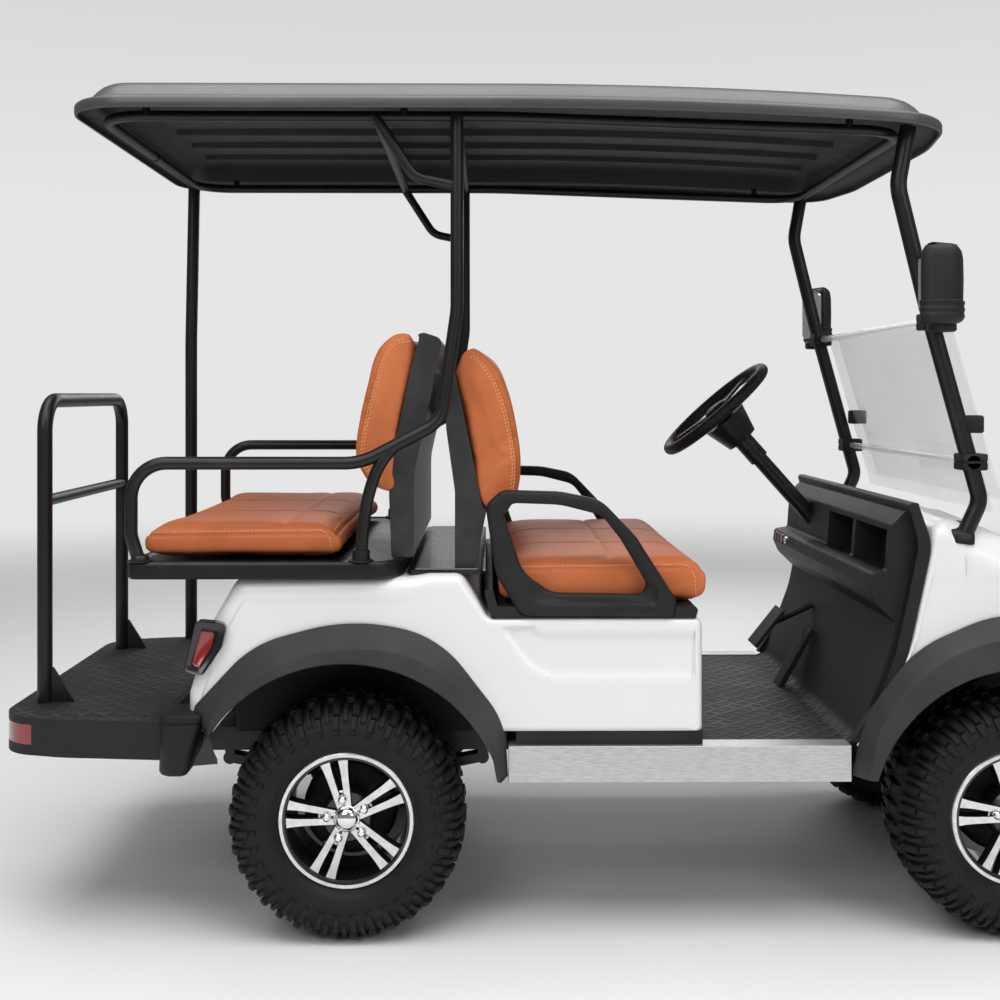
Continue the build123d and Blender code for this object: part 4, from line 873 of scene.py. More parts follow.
def shell_side(rows, count, edge, depth, across=9):
    """The right half of a painted shell.  At each station of the side view's line the section
    runs over the top from the middle to y = BODY_HALF - r, round a quarter circle of radius r,
    and down the side in straight lines to the lower edge, less the depth of its creases."""
    place, inward, values = along(rows, count)
    radius, share = values[:, 0], values[:, 1]
    low = edge(share)
    middle = np.linspace(0, 1, across, endpoint=False)
    turn = np.linspace(0, pi / 2, SHOULDER_STEPS)
    flat_y = middle[None, :] * (BODY_HALF - radius)[:, None]
    over = np.repeat(place[:, None], across, axis=1)
    round_in = radius[:, None] * (1 - np.cos(turn))
    round_y = (BODY_HALF - radius)[:, None] + radius[:, None] * np.sin(turn)
    corner = place[:, None] + inward[:, None] * round_in[..., None]
    fall = np.linspace(0, 1, SIDE_STEPS)[1:]
    side = corner[:, -1:] * (1 - fall)[:, None] + low[:, None] * fall[:, None]
    side_y = BODY_HALF - depth(side[..., 0], side[..., 1])
    flat = np.concatenate([over, corner, side], axis=1)
    y = np.concatenate([flat_y, round_y, side_y], axis=1)
    return flat, y


def shell(name, node, flat, y):
    """Both halves of a painted shell, given a wall, from its right half's grid: flat holds
    each point's (x, z) and y its distance out."""
    rows, columns = y.shape
    right = np.stack([flat[..., 0], -y, flat[..., 1]], axis=-1)
    left = right[:, :0:-1] * (1, -1, 1)
    points = np.concatenate([left, right], axis=1)
    faces = quads(rows, 2 * columns - 1)
    made = piece(name, points.reshape(-1, 3), faces, WHITE, smooth=35, merge=0.02)
    modifier(made, "SOLIDIFY", thickness=SHELL_WALL / 1000, offset=-1.0, use_even_offset=False)
    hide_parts(node)
    return made


def band(value, low, high):
    """A smooth step from 0 to 1 as value runs from low to high."""
    share = np.clip((value - low) / (high - low), 0, 1)
    return share * share * (3 - 2 * share)


REAR_ROWS = (                # side view (x, z), fillet, shoulder radius, share of the lower edge
    (-386, 508, 0, 34, 0.000), (-386, 600, 60, 34, 0.012), (-330, 772, 60, 40, 0.10),
    (-268, 880, 40, 40, 0.17), (150, 880, 40, 30, 0.43), (200, 888, 60, 28, 0.475),
    (280, 888, 30, 26, 0.52), (345, 782, 20, 18, 0.58), (868, 782, 20, 18, 0.985),
    (868, 508, 0, 18, 1.000),
)


def rear_depth(x, z):
    """Creases of the rear body's side.  The pod has a pressed field: its left bound slants down
    from the seat deck, its lower bound is level, and they meet in a round corner of radius R,
    where the distance in is R - sqrt((R - slant)^2 + (R - rise)^2).  A proud strip bounds it
    above and drops away towards the deck's corner."""
    corner = 46.0
    slant = (x - 284) * 0.8125 + (z - 888) * 0.5828
    rise = z - 640
    left, under = np.clip(corner - slant, 0, None), np.clip(corner - rise, 0, None)
    inside = corner - np.hypot(left, under)
    strip = 742 + 40 * band(x, 480, 415)
    field = band(inside, -5, 9) * band(z, strip + 4, strip - 4)
    quarter = (1 - band(x, 60, 240)) * band(z, 838, 818) * 4.0
    return quarter + field * 9.0


def rear_shell():
    """The painted hood from the front seat's back to the platform."""
    low = np.vstack([[(-352, 508)], arch_points(0, ARCH_R, 508), [(850, 508)]])
    edge = edge_line(low)
    flat, y = shell_side(REAR_ROWS, 230, edge, rear_depth, across=3)
    shell("body_rear_shell", "rear_body", flat, y)


def well(name, node, x, radius, low_z, inner):
    """Black wheel wells: the arch's inner drum from the panel in to its flat inner wall."""
    arch = arch_points(x, radius - 1.5, low_z, 48)
    spans = []
    places = np.array([BODY_HALF - 6, BODY_HALF - 60, inner + 14, inner + 4, inner])
    pull = np.array([0, 0, 0, 4.0, 14.0])        # the rounding at each place, towards the axle
    drum = arch[:, None] + (np.array([x, AXLE_Z]) - arch)[:, None] * (pull / radius)[None, :, None]
    for side in (-1, 1):
        y = np.broadcast_to(side * places, drum.shape[:2])
        grid = np.stack([drum[..., 0], y, drum[..., 1]], axis=-1)
        foot = np.stack([drum[:, -1, 0], np.full(len(arch), side * inner),
                         np.full(len(arch), WELL_FOOT_Z)], axis=-1)
        grid = np.concatenate([grid, foot[:, None]], axis=1)
        spans.append((grid.reshape(-1, 3), quads(*grid.shape[:2]).tolist()))
    made = built(name, spans, PLASTIC, merge=0.02)
    modifier(made, "SOLIDIFY", thickness=0.003, offset=0.0)
    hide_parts(node)


COWL_SIDE = (                # side view from the front axle: (x, z), fillet, shoulder, share
    (-310, 582, 0, 8, 0.0), (-268, 696, 60, 10, 0.02), (-216, 950, 100, 16, 0.08),
    (-204, 1037, 80, 34, 0.14), (-111, 1030, 60, 80, 0.30), (80, 950, 300, 100, 0.52),
    (260, 830, 240, 90, 0.72), (370, 700, 110, 80, 0.90), (398, 560, 60, 70, 0.97),
    (385, 474, 0, 60, 1.0),
)
NOSE_X = FRONT_X + 412
NOSE_R = 190.0               # round corners of the nose in plan


def cowl_shell():
    """The front cowl: a crowned bonnet, round shoulders and a rounded nose."""
    rows = [(FRONT_X + row[0], *row[1:]) for row in COWL_SIDE]
    low = np.vstack([[(FRONT_X - 310, 574)], arch_points(FRONT_X, FRONT_ARCH_R, 474)[4:],
                     [(FRONT_X + 372, 474)]])
    edge = edge_line(low)

    def depth(x, z):
        return 3.0 * band(z, 900, 880) * band(x, FRONT_X + 250, FRONT_X)
    flat, y = shell_side(rows, 220, edge, depth)
    pull = np.clip((flat[..., 0] - (NOSE_X - NOSE_R)) / NOSE_R, 0, 1)
    narrow = 1 - np.sqrt(np.clip(1 - pull ** 2, 0, 1))
    y = y - np.clip(y - (BODY_HALF - NOSE_R), 0, None) * narrow * 0.85
    crown = 10 * (y / BODY_HALF) ** 2
    ridge = 7 * np.exp(-((y - 300) / 26) ** 2) * band(flat[..., 1], 760, 860)
    top = band(flat[..., 1], 640, 760)
    flat = np.stack([flat[..., 0] - crown * (1 - top), flat[..., 1] - crown * top - 7 * top], -1)
    flat[..., 1] += ridge * band(y, BODY_HALF - 60, BODY_HALF - 120)
    return shell("body_front_cowl", "front_cowl", flat, y)


rear_shell()
COWL = cowl_shell()
well("wheel_wells_rear", "rear_body", 0.0, ARCH_R, 508, REAR_WELL_Y)
well("wheel_wells_front", "front_cowl", FRONT_X, FRONT_ARCH_R, 500, FRONT_WELL_Y)


# ---- Flares ----------------------------------------------------------------------------------
REAR_FLARE = (               # outer edge in side view, (x from its axle, z, corner radius)
    (-312, 440, 0), (-372, 566, 10), (-228, 720, 260), (5, 782, 500), (222, 742, 260),
    (386, 530, 400), (393, 399, 0),
)
REAR_RIDGE = ((-300, 445), (-322, 540), (-294, 588), (-199, 659), (-103, 701), (4, 718),
              (135, 706), (230, 658), (301, 574), (349, 479), (366, 400))
FRONT_FLARE = (
    (-409, 399, 0), (-378, 540, 400), (-255, 706, 300), (0, 816, 500), (255, 706, 300),
    (378, 540, 400), (389, 431, 0),
)
FRONT_RIDGE = ((-382, 400), (-352, 520), (-302, 600), (-210, 680), (-100, 728), (0, 742),
               (100, 728), (210, 680), (302, 600), (350, 520), (374, 433))


FLARE_STEPS = 90             # stations round an arch
FLARE_SLOPE = ((0.0, 0.0), (0.0, 4.5), (0.10, 9.0), (0.5, 31.0), (0.93, 50.0), (1.0, 53.2))
FLARE_WALL = ((0.10, 54.4), (0.55, 56.0), (0.94, 56.6), (1.0, 54.0), (1.0, 0.0))


def flare(name, rows, ridge, axle_x, inner, feet):
    """Flares of one axle in two tiers: from the panel a slope out to the ridge, then nearly
    upright down to the arch, its lip turned in towards the panel.  Each tier's table gives
    (share of the way across it, distance out from the panel)."""
    edge, _, _ = along([(*row, 0) for row in rows], FLARE_STEPS)
    crest = smooth_line(ridge, FLARE_STEPS)
    angle = np.radians(np.linspace(feet[0], feet[1], FLARE_STEPS))
    arch = np.stack([inner * np.cos(angle), AXLE_Z + inner * np.sin(angle)], axis=1)
    flat = np.stack([between(edge, crest, share) for share, _ in FLARE_SLOPE]
                    + [between(crest, arch, share) for share, _ in FLARE_WALL], axis=1)
    out = np.array([out for _, out in FLARE_SLOPE + FLARE_WALL])
    spans = []
    for side in (-1, 1):
        y = np.broadcast_to(side * (BODY_HALF + out), flat.shape[:2])
        grid = np.stack([flat[..., 0] + axle_x, y, flat[..., 1]], -1)
        faces = quads(FLARE_STEPS, len(out), close_columns=True).tolist()
        last = (FLARE_STEPS - 1) * len(out)
        faces += [list(range(len(out))), list(range(last, last + len(out)))]
        spans.append((grid.reshape(-1, 3), faces))
    made = built(name, spans, FLARE_PLASTIC, smooth=60, merge=0.02)
    modifier(made, "BEVEL", width=0.0022, segments=2, limit_method="ANGLE", angle_limit=radians(24))
    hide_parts("arch_flares")


flare("arch_flares_rear", REAR_FLARE, REAR_RIDGE, 0.0, 390.5, (157.5, 15.8))
flare("arch_flares_front", FRONT_FLARE, FRONT_RIDGE, FRONT_X, 374.5, (163.4, 21.8))


# ---- Roof ------------------------------------------------------------------------------------
ROOF_HALF = 636.0
ROOF_REAR_X = -675.0
ROOF_FRONT_X = 1506.0
ROOF_EDGE_Z = 2007.0
ROOF_BEND_X = 373.0
ROOF_DIP_R = 14263.0
ROOF_CORNER_R = 150.0
ROOF_STEPS = 240             # points round each ring
ROOF_SKIN = (                # (inset from the edge, height over the edge line), round the section
    (40, 22), (14, 21), (8, 14), (7, 2), (4, 0), (1.5, 1.5), (0, 6), (0, 20), (1.5, 25), (6, 29),
    (13, 31), (24, 33), (34, 38), (52, 58), (66, 70), (78, 76), (96, 79), (130, 80.5),
)
ROOF_CROWN = ((0.85, 81.5), (0.6, 82.4), (0.3, 82.9), (0.0, 83.0))
ROOF_UNDER = ((60, 26), (84, 62), (100, 72))
ROOF_VAULT = ((0.85, 74), (0.5, 75.5), (0.0, 76))


def roof_loop(inset):
    """The roof's plan outline, drawn in from its edge."""
    rear, half, front = ROOF_REAR_X + inset, ROOF_HALF - inset, ROOF_FRONT_X - inset
    bend = max(ROOF_CORNER_R - inset, 30)
    rows = [(rear, -half, bend), (front - 60, -half, bend), (front - 8, 300 - half, 600),
            (front - 8, half - 300, 600), (front - 60, half, bend), (rear, half, bend)]
    line = filleted(rows, 12)
    line = np.vstack([line, line[:1]])
    run = lengths_along(line)
    return sampled(line, run, np.linspace(0, run[-1], ROOF_STEPS, endpoint=False))


def roof_dip(x):
    """How far the roof has fallen at x: ahead of its bend by (x - bend)^2 / 2R."""
    return np.clip(x - ROOF_BEND_X, 0, None) ** 2 / (2 * ROOF_DIP_R)


def roof_rings(rows, shrink):
    """Rings of the roof's skin: true insets near the rim, then the last one drawn to a spine."""
    rings = [(roof_loop(inset), height) for inset, height in rows]
    last = rings[-1][0]
    for share, height in shrink:
        spine = np.clip(last[:, :1] * (0.55 + 0.45 * share) + 0.45 * (1 - share) * 400, -500, 1330)
        rings.append((np.concatenate([spine, last[:, 1:] * share], axis=1), height))
    return rings


def roof():
    """One skin over the crown, round the rim and back under it; the part under it is painted darker
    than the top as painted shade.
    """
    top = roof_rings(ROOF_SKIN, ROOF_CROWN)
    under = roof_rings(ROOF_UNDER, ROOF_VAULT)
    rings = under[::-1] + top
    points = np.array([np.column_stack([line, ROOF_EDGE_Z + height - roof_dip(line[:, 0])])
                       for line, height in rings]).reshape(-1, 3)
    faces = quads(len(rings), ROOF_STEPS, close_columns=True)
    # the underside and the rim's inner lower rings take the darker copy of the roof's black: painted
    # shade
    marks = np.repeat(np.arange(len(rings) - 1) < len(under) + 3, ROOF_STEPS)
    made = piece("roof_moulding", points, faces, (ROOF, ROOF_UNDERSIDE_SHADED), smooth=50, marks=marks,
                 merge=0.05)
    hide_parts("roof_panel")


def roof_ribs():
    """Lengthways stiffening ribs under the crown, in the underside's darker black as painted shade."""
    parts = []
    x = np.linspace(ROOF_REAR_X + 130, ROOF_FRONT_X - 170, 60)
    profile = ((-16, 0), (-9, -13), (-6, -15), (6, -15), (9, -13), (16, 0))
    for y in (-380, -190, 0, 190, 380):
        path = np.column_stack([x, np.full_like(x, y), ROOF_EDGE_Z + 76 - roof_dip(x)])
        parts.append(swept(path, (0, 1, 0), (0, 0, 1), profile))
    made = built("roof_ribs", parts, ROOF_UNDERSIDE_SHADED)
    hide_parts("roof_panel")


roof()
roof_ribs()


# ---- Moulded and folded pieces whose shape is the frame's, with their edges rounded ----------
ROUNDED = (                  # node, bevel in mm, material
    ("seat_back_shells", 8.0, SHELL_BLACK),
    ("seat_deck", 5.0, PLASTIC), ("cowl_trim", 6.0, PLASTIC),
    ("side_sills", 2.5, STEP), ("body_skirt", 2.0, PLASTIC), ("rear_platform", 5.0, MAT),
    ("front_bumper", 10.0, PLASTIC), ("floor_pan", 2.0, MAT), ("pedals", 2.0, PEDAL_RUBBER),
    ("chassis_frame", 3.0, STEEL), ("dashboard", 6.0, DASH_PLASTIC), ("battery_pack", 8.0, MACHINE),
)
for node, width, material in ROUNDED:
    rounded(node, width, material)


# ---- Steering wheel --------------------------------------------------------------------------
STEER_HUB = (1046.0, 265.0, 1282.0)
COLUMN_TILT = radians(41.65)
GRIP_R = 186.0
GRIP_BAR_R = 17.5
GRIP_STEPS = (96, 20)        # round the wheel, round its bar
WHEEL_HUB = ((0, 11), (16, 10.5), (30, 8), (37, 3), (38, -3), (38, -24), (35, -27), (25, -40),
             (0, -40))
SPOKE_SECTION = ((-1, -2), (-0.8, -4), (0.8, -4), (1, -2), (1, 2), (0.8, 4), (-0.8, 4), (-1, 2))


def steering_wheel():
    """A torus with three flat spokes into a domed hub.  It is drawn about Z and leant back by
    the column's tilt t: x = x cos t - z sin t, z = x sin t + z cos t."""
    turn = np.linspace(0, 2 * pi, GRIP_STEPS[0], endpoint=False)[:, None]
    round_grip = np.linspace(0, 2 * pi, GRIP_STEPS[1], endpoint=False)[None, :]
    reach = GRIP_R + GRIP_BAR_R * np.cos(round_grip)
    lift = np.broadcast_to(GRIP_BAR_R * np.sin(round_grip), GRIP_STEPS)
    grip = np.stack([reach * np.cos(turn), reach * np.sin(turn), lift], axis=-1).reshape(-1, 3)
    parts = [(grip, quads(*GRIP_STEPS, close_rows=True, close_columns=True).tolist())]
    points, faces = turned(WHEEL_HUB, 48)
    parts.append((points[:, [0, 2, 1]], faces))
    share = np.linspace(0, 1, 9)
    for direction in (-90, 30, 150):
        a = radians(direction)
        out, across = np.array([cos(a), sin(a), 0]), np.array([-sin(a), cos(a), 0])
        path = out * (30 + 152 * share)[:, None] + np.array([0, 0, 1]) * (-6 + 6 * share)[:, None]
        wide = 19 - 9 * share + 5 * share ** 4
        profile = np.array(SPOKE_SECTION)[None] * np.stack([wide, np.ones(9)], axis=1)[:, None]
        parts.append(swept(path, across, (0, 0, 1), profile))
    points, faces, _ = joined(parts)
    x, y, z = points.T
    lean = (cos(COLUMN_TILT), sin(COLUMN_TILT))
    points = np.column_stack([x * lean[0] - z * lean[1], y, x * lean[1] + z * lean[0]]) + STEER_HUB
    made = piece("steering_wheel_grip", points, faces, DASH_PLASTIC, "steering_wheel", smooth=50)
    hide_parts("steering_wheel")


# ---- Armrests --------------------------------------------------------------------------------
ARM_OUTER = ((338, 1056, 28), (378, 1094, 40), (520, 1090, 200), (620, 1070, 90), (706, 980, 90),
             (806, 822, 20), (800, 783, 10), (424, 786, 34), (362, 890, 120))
ARM_INNER = ((382, 1034, 18), (404, 1062, 22), (520, 1058, 200), (622, 1032, 60), (668, 974, 60),
             (732, 866, 14), (722, 838, 14), (500, 842, 60), (430, 890, 90))
ARM_SECTION = (              # (share from the outer loop to the inner one, share of the thickness)
    (0, 0.30), (0.05, 0.12), (0.16, 0.03), (0.34, 0), (0.56, 0), (0.64, 0.02), (0.70, 0.06),
    (0.86, 0.10), (0.95, 0.16), (1, 0.32), (1, 0.72), (0.95, 0.90), (0.82, 1), (0.18, 1),
    (0.05, 0.90), (0, 0.72),
)


def armrests():
    """Moulded loops: the section runs from the outer line to the inner one with round edges,
    and along the lower bar its inner part steps back as a ledge."""
    outer, inner = filleted(ARM_OUTER, 7), filleted(ARM_INNER, 7)
    fine = np.arange(0, len(outer), 0.25)
    at = np.arange(len(outer) + 1)
    outer, inner = [sampled(np.vstack([line, line[:1]]), at, fine) for line in (outer, inner)]
    share, deep = np.array(ARM_SECTION).T
    flat = outer[:, None] + (inner - outer)[:, None] * share[None, :, None]
    low = band(inner[:, 1], 880, 850)[:, None] * band(share, 0.60, 0.68) * band(deep, 0.5, 0.3)
    y = BODY_HALF + 6 - 38 * deep[None] - 9 * low
    spans = []
    for side in (-1, 1):
        grid = np.stack([flat[..., 0], side * y, flat[..., 1]], axis=-1)
        faces = quads(len(outer), len(share), close_rows=True, close_columns=True).tolist()
        spans.append((grid.reshape(-1, 3), faces))
    made = built("armrest_loops", spans, PLASTIC, smooth=50)
    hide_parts("front_armrests")


# ---- Rings stacked on a plan outline ---------------------------------------------------------
TRAY_LEVELS = (              # (height, inset)
    (880.5, 9), (880, 4), (884, 0), (914, 0), (919, 1.5), (922, 6), (922, 20), (918, 25),
)
COVER_LEVELS = ((885, 0), (892, 0), (894, 3), (894, 16), (897, 18), (897, 30))
BUMPER_LEVELS = (            # (height, inset, share of the front face's lean)
    (408, 10, 0.0), (411, 4, 0.0), (418, 0, 0.04), (530, 0, 0.90), (533, 3, 0.90),
    (536, 3, 0.94), (539, -1, 0.95), (552, -1, 1.0), (556, 3, 1.0), (557, 12, 1.0),
)


def stacked(rings):
    """Closed rings of equal length joined from the first to the last, both ends capped."""
    count = len(rings[0])
    points = np.vstack(rings)
    faces = quads(len(rings), count, close_columns=True).tolist()
    last = (len(rings) - 1) * count
    return points, faces + [list(range(count)), list(range(last, last + count))]


def level_ring(x0, x1, y0, y1, bends, inset, z):
    """A rectangle with round corners, drawn in, at a height; its bends shrink with it."""
    rows = [(x0 + inset, y0 + inset), (x1 - inset, y0 + inset), (x1 - inset, y1 - inset),
            (x0 + inset, y1 - inset)]
    rows = [(*row, max(bend - inset, 1.0)) for row, bend in zip(rows, bends)]
    line = filleted(rows, 8)
    return np.column_stack([line, np.full(len(line), float(z))])


def block(x0, x1, y0, y1, bends, levels):
    """A block with round corners in plan, drawn in by the inset of each (height, inset)."""
    low, high = sorted((y0, y1))
    return stacked([level_ring(x0, x1, low, high, bends, inset, z) for z, inset in levels])


def corner_bumpers():
    """Round-cornered columns between platform and flare, a lip at the top; the front face leans
    forward with height."""
    rings = [level_ring(-452, -378 + 36 * lean, -594, -478, (46, 20, 8, 8), inset, z)
             for z, inset, lean in BUMPER_LEVELS]
    made = piece("corner_bumpers_moulded", *both_sides(*stacked(rings)), PLASTIC)
    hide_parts("corner_bumpers")


def seat_pan():
    """Pressed tray with round front corners, a rolled rim and a sunk floor."""
    tray = block(-531, 137, -575, 575, (30, 90, 90, 30), TRAY_LEVELS)
    made = piece("rear_seat_tray", *tray, STEEL)
    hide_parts("rear_seat_pan")


def deck_cover():
    """A raised cover plate on the deck between the two seat backs."""
    piece("deck_cover_plate", *block(146, 338, -520, 520, (20,) * 4, COVER_LEVELS), GLOSS_BLACK)


# ---- Rails -----------------------------------------------------------------------------------
POST_TOP_Z = 2010.0
RAIL_Z = 1160.0


def side_rails():
    """Bent steel tubes: the centre post runs down into the rear rail, whose end turns down to
    the tray, and a curved leg with a collar stands ahead of it."""
    post = ((269, POST_TOP_Z, 0), (269, 1533, 250), (230, 1261, 80), (36, RAIL_Z, 170),
            (-522, RAIL_Z, 95), (-522, 985, 60), (-500, 914, 0))          # (x, z, bend)
    line = bent_line([(x, BODY_HALF, z) for x, z, _ in post], [bend for _, _, bend in post], 14)
    leg = smooth_line([(x, BODY_HALF, z) for x, z in
                       ((112, 1197), (84, RAIL_Z), (55, 1085), (41, 1000), (36, 921))], 26)
    parts = [round_bar(line, 16.0, 20), round_bar(leg, 15.0, 20)]
    for x, height in ((36, 26), (-500, 14)):
        collar = ((0, 0), (30, 0), (31, 3), (22, 6), (21, height), (17, height + 3), (0, height + 3))
        points, faces = turned(collar, 32)
        parts.append((points[:, [0, 2, 1]] + (x, BODY_HALF, 921.5), faces))
    points, faces, _ = joined(parts)
    made = piece("rails_and_posts", *both_sides(points, faces), STEEL, smooth=50)
    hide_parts("side_rails")


# ---- Lamps -----------------------------------------------------------------------------------
TAIL_HOUSING = ((-362, 780, 12), (-286, 774, 16), (-299, 716, 40), (-346, 646, 14), (-391, 661, 12))
TAIL_LENS = ((-349, 756, 6), (-314, 752, 8), (-324, 716, 30), (-352, 668, 6), (-370, 676, 6))


def side_plates(name, rows, y0, y1, material, edge):
    """A plate on each side of the cart: a side view carried from y0 out to y1, edge rounded."""
    line = filleted(rows, 6)
    middle = line.mean(axis=0)
    small = middle + (line - middle) * (1 - edge / np.linalg.norm(line - middle, axis=1))[:, None]
    rings = [np.insert(ring, 1, y, axis=1) for ring, y in
             ((line, y0), (line, y1 - edge), (small, y1))]
    piece(name, *both_sides(*stacked(rings)), material, smooth=60)


def tail_lamps():
    """Black housings with a long red lens; the CAD lamp lies inside the housing."""
    side_plates("tail_lamp_housings", TAIL_HOUSING, -540.0, -568.0, GLOSS_BLACK, 5.0)
    side_plates("tail_lamp_lenses", TAIL_LENS, -560.0, -572.0, RED_LENS, 3.0)


def headlamps(cowl):
    """A bezel and a domed lens on each side of the nose, square to the cowl where a level ray
    from ahead meets it."""
    tree = BVHTree.FromObject(cowl, bpy.context.evaluated_depsgraph_get())
    parts = []
    for y in (-400.0, 400.0):
        spot, normal, _, _ = tree.ray_cast(Vector(put((2400.0, y, 700.0)).tolist()), Vector((-1, 0, 0)))
        centre = from_frame(spot)
        axis = unit(np.array([abs(normal[0]), 0.0, abs(normal[2])]))
        up = np.array([-axis[2], 0.0, axis[0]])
        bezel = ((52, 2), (56, 7), (62, 9), (67, 6), (69, -2), (69, -16), (52, -16))
        dome = ((0, 11), (20, 10.4), (36, 8.2), (48, 4.6), (54, 1.5), (54, -14), (0, -14))
        for section, mark in ((bezel, 0), (dome, 1)):
            points, faces = turned(section, 64, closed=mark == 0)
            x, out, z = points.T
            points = centre + x[:, None] * (0, 1.0, 0) + z[:, None] * up + out[:, None] * axis
            parts.append((points, faces, mark))
    made = built("headlamp_lenses", parts, (GLOSS_BLACK, CLEAR_LENS), smooth=50)
    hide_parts("headlamps")


steering_wheel()
armrests()
corner_bumpers()
seat_pan()
deck_cover()
side_rails()
tail_lamps()
headlamps(COWL)


# ---- Screen, mirrors and small controls ------------------------------------------------------
SCREEN_BARS = ((1438.0, 1506.0), (1532.0, 1161.0))       # (x, z)
CLAMP_LEVELS = (             # (height from the bar, inset)
    (-20, 3), (-17, 0), (-3, 0), (-3, 1.5), (3, 1.5), (3, 0), (17, 0), (20, 3),
)
CLIP_Z = 1253
CLIP_LEVELS = ((-22, 4), (-18, 0), (18, 0), (22, 4))
FOOT_LEVELS = ((980, 0), (1001, 0), (1004, 3))


def screen_x(z):
    """The lower screen's place at a height."""
    return 1460 + (1508 - z) * 0.2911


def screen_fittings():
    """Clear cross tubes behind the screen, black clamps on the pillars and the fold's clips."""
    bars, clamps = [], []
    for x, z in SCREEN_BARS:
        path = np.array([(x, y, z) for y in np.linspace(-500, 500, 5)])
        bars.append(round_bar(path, 10.0, 16))
        for side in (-1, 1):
            sleeve = np.array([(x, side * y, z) for y in (478, 484, 500, 556)])
            clamps.append(round_bar(sleeve, [9.0, 15.0, 17.0, 17.0], 20))
            levels = [(z + lift, inset) for lift, inset in CLAMP_LEVELS]
            clamps.append(block(x - 28, screen_x(z) + 8, side * 484, side * 556, (12,) * 4, levels))
    x = screen_x(CLIP_Z)
    for side in (-1, 1):
        levels = [(CLIP_Z + lift, inset) for lift, inset in CLIP_LEVELS]
        clamps.append(block(x - 10, x + 42, side * 466, side * 510, (8,) * 4, levels))
    for name, parts, material in (("screen_cross_tubes", bars, CLEAR_TUBE),
                                  ("screen_clamp_blocks", clamps, CABLE)):
        made = built(name, parts, material, smooth=45)
        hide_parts("screen_clamps")


MIRROR_PLAN = ((1388, -682, 18), (1460, -562, 18), (1494, -588, 36), (1492, -668, 44), (1424, -700, 30))
GLASS_FROM = np.array((1388.0, -682.0))
GLASS_TO = np.array((1460.0, -562.0))
MIRROR_LEVELS = (            # (height, inset) up the housing: a ribbed collar under a smooth head
    (1496, 22), (1498, 12), (1503, 5), (1510, 1), (1516, 0), (1518, 1.5), (1524, 1.5), (1526, 0),
    (1532, 0), (1534, 1.5), (1540, 1.5), (1542, 0), (1548, 0), (1551, 4), (1600, 3), (1650, 4),
    (1668, 7), (1678, 13), (1684, 22), (1686, 34),
)
MIRROR_PIVOT = np.array((1440.0, -590.0))
MIRROR_TURNS = ((1, -24.0), (-1, 17.0))      # (side's sign, degrees about the pivot)


def swung(points, degrees):
    """Points turned about the mirror's upright pivot."""
    turn = np.radians(degrees)
    spin = np.array(((np.cos(turn), np.sin(turn)), (-np.sin(turn), np.cos(turn))))
    return np.column_stack([MIRROR_PIVOT + (points[:, :2] - MIRROR_PIVOT) @ spin, points[:, 2]])


def mirrors():
    """Round-edged housings turned in towards the driver, the right one further, with the glass
    in their rear face, a short neck and a boss."""
    plan = filleted(MIRROR_PLAN, 8)
    inward = inward_of(plan)
    rings = [np.column_stack([plan + inward * inset, np.full(len(plan), float(z))])
             for z, inset in MIRROR_LEVELS]
    run = np.linalg.norm(GLASS_TO - GLASS_FROM)
    ahead = (GLASS_TO - GLASS_FROM) / run
    out = np.array((-ahead[1], ahead[0]))
    glass = filleted(((12, 1516, 20), (run - 12, 1516, 20), (run - 12, 1668, 20), (12, 1668, 20)), 8)
    lens = stacked([np.column_stack([GLASS_FROM + glass[:, :1] * ahead + out * far, glass[:, 1]])
                    for far in (-6.0, 1.5)])
    boss = turned(((0, -16), (30, -16), (34, -12), (34, 4), (28, 8), (0, 8)), 32)
    neck = round_bar(((1416, -530, 1560), (1428, -560, 1548), (1440, -590, 1536)), 14.0, 16)
    housing, walls = stacked(rings)
    foot = (boss[0][:, [0, 2, 1]] + (*MIRROR_PIVOT, 1494), boss[1], 0)
    copies = []
    for side, turn in MIRROR_TURNS:
        points, faces, marks = joined([(swung(housing, turn), walls, 0),
                                       (swung(lens[0], turn), lens[1], 1), (*neck, 0), foot])
        copies.append((points * (1, side, 1), faces, marks))
    made = built("mirror_housings", copies, (PLASTIC, MIRROR), smooth=45)
    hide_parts("mirrors")


SWITCHES = ((480, 0), (440, 0), (400, 1))        # (y, 1 where lit red)
KEY_PLACE = (1286, 350, 868)


def switches():
    """Rocker switches and a key barrel on the dashboard's lip."""
    parts = []
    for y, lit in SWITCHES:
        rings = [np.insert(filleted(((y - 14, 856, 3), (y + 14, 856, 3), (y + 14, 880, 3),
                                     (y - 14, 880, 3)), 4), 0, x, axis=1) for x in (1292.0, 1280.5)]
        parts.append((*stacked(rings), lit))
    barrel, faces = turned(((0, 8), (7, 8), (8, 6), (12, 5), (12, -8), (0, -8)), 24)
    parts.append((barrel[:, [1, 0, 2]] * (-1, 1, 1) + KEY_PLACE, faces, 2))
    built("dash_switches", parts, (GLOSS_BLACK, RED_LENS, CHROME))


def pillar_feet():
    """Foot plates of the screen pillars, sloped as the cowl's shoulder is under them."""
    parts = []
    for side in (-1, 1):
        points, faces = block(1478, 1538, side * 500, side * 556, (16,) * 4, FOOT_LEVELS)
        points[:, 2] -= 0.55 * (abs(points[:, 1]) - 522) + 0.12 * (points[:, 0] - 1508)
        parts.append((points, faces))
    built("pillar_feet", parts, STEEL)


screen_fittings()
mirrors()
switches()
pillar_feet()


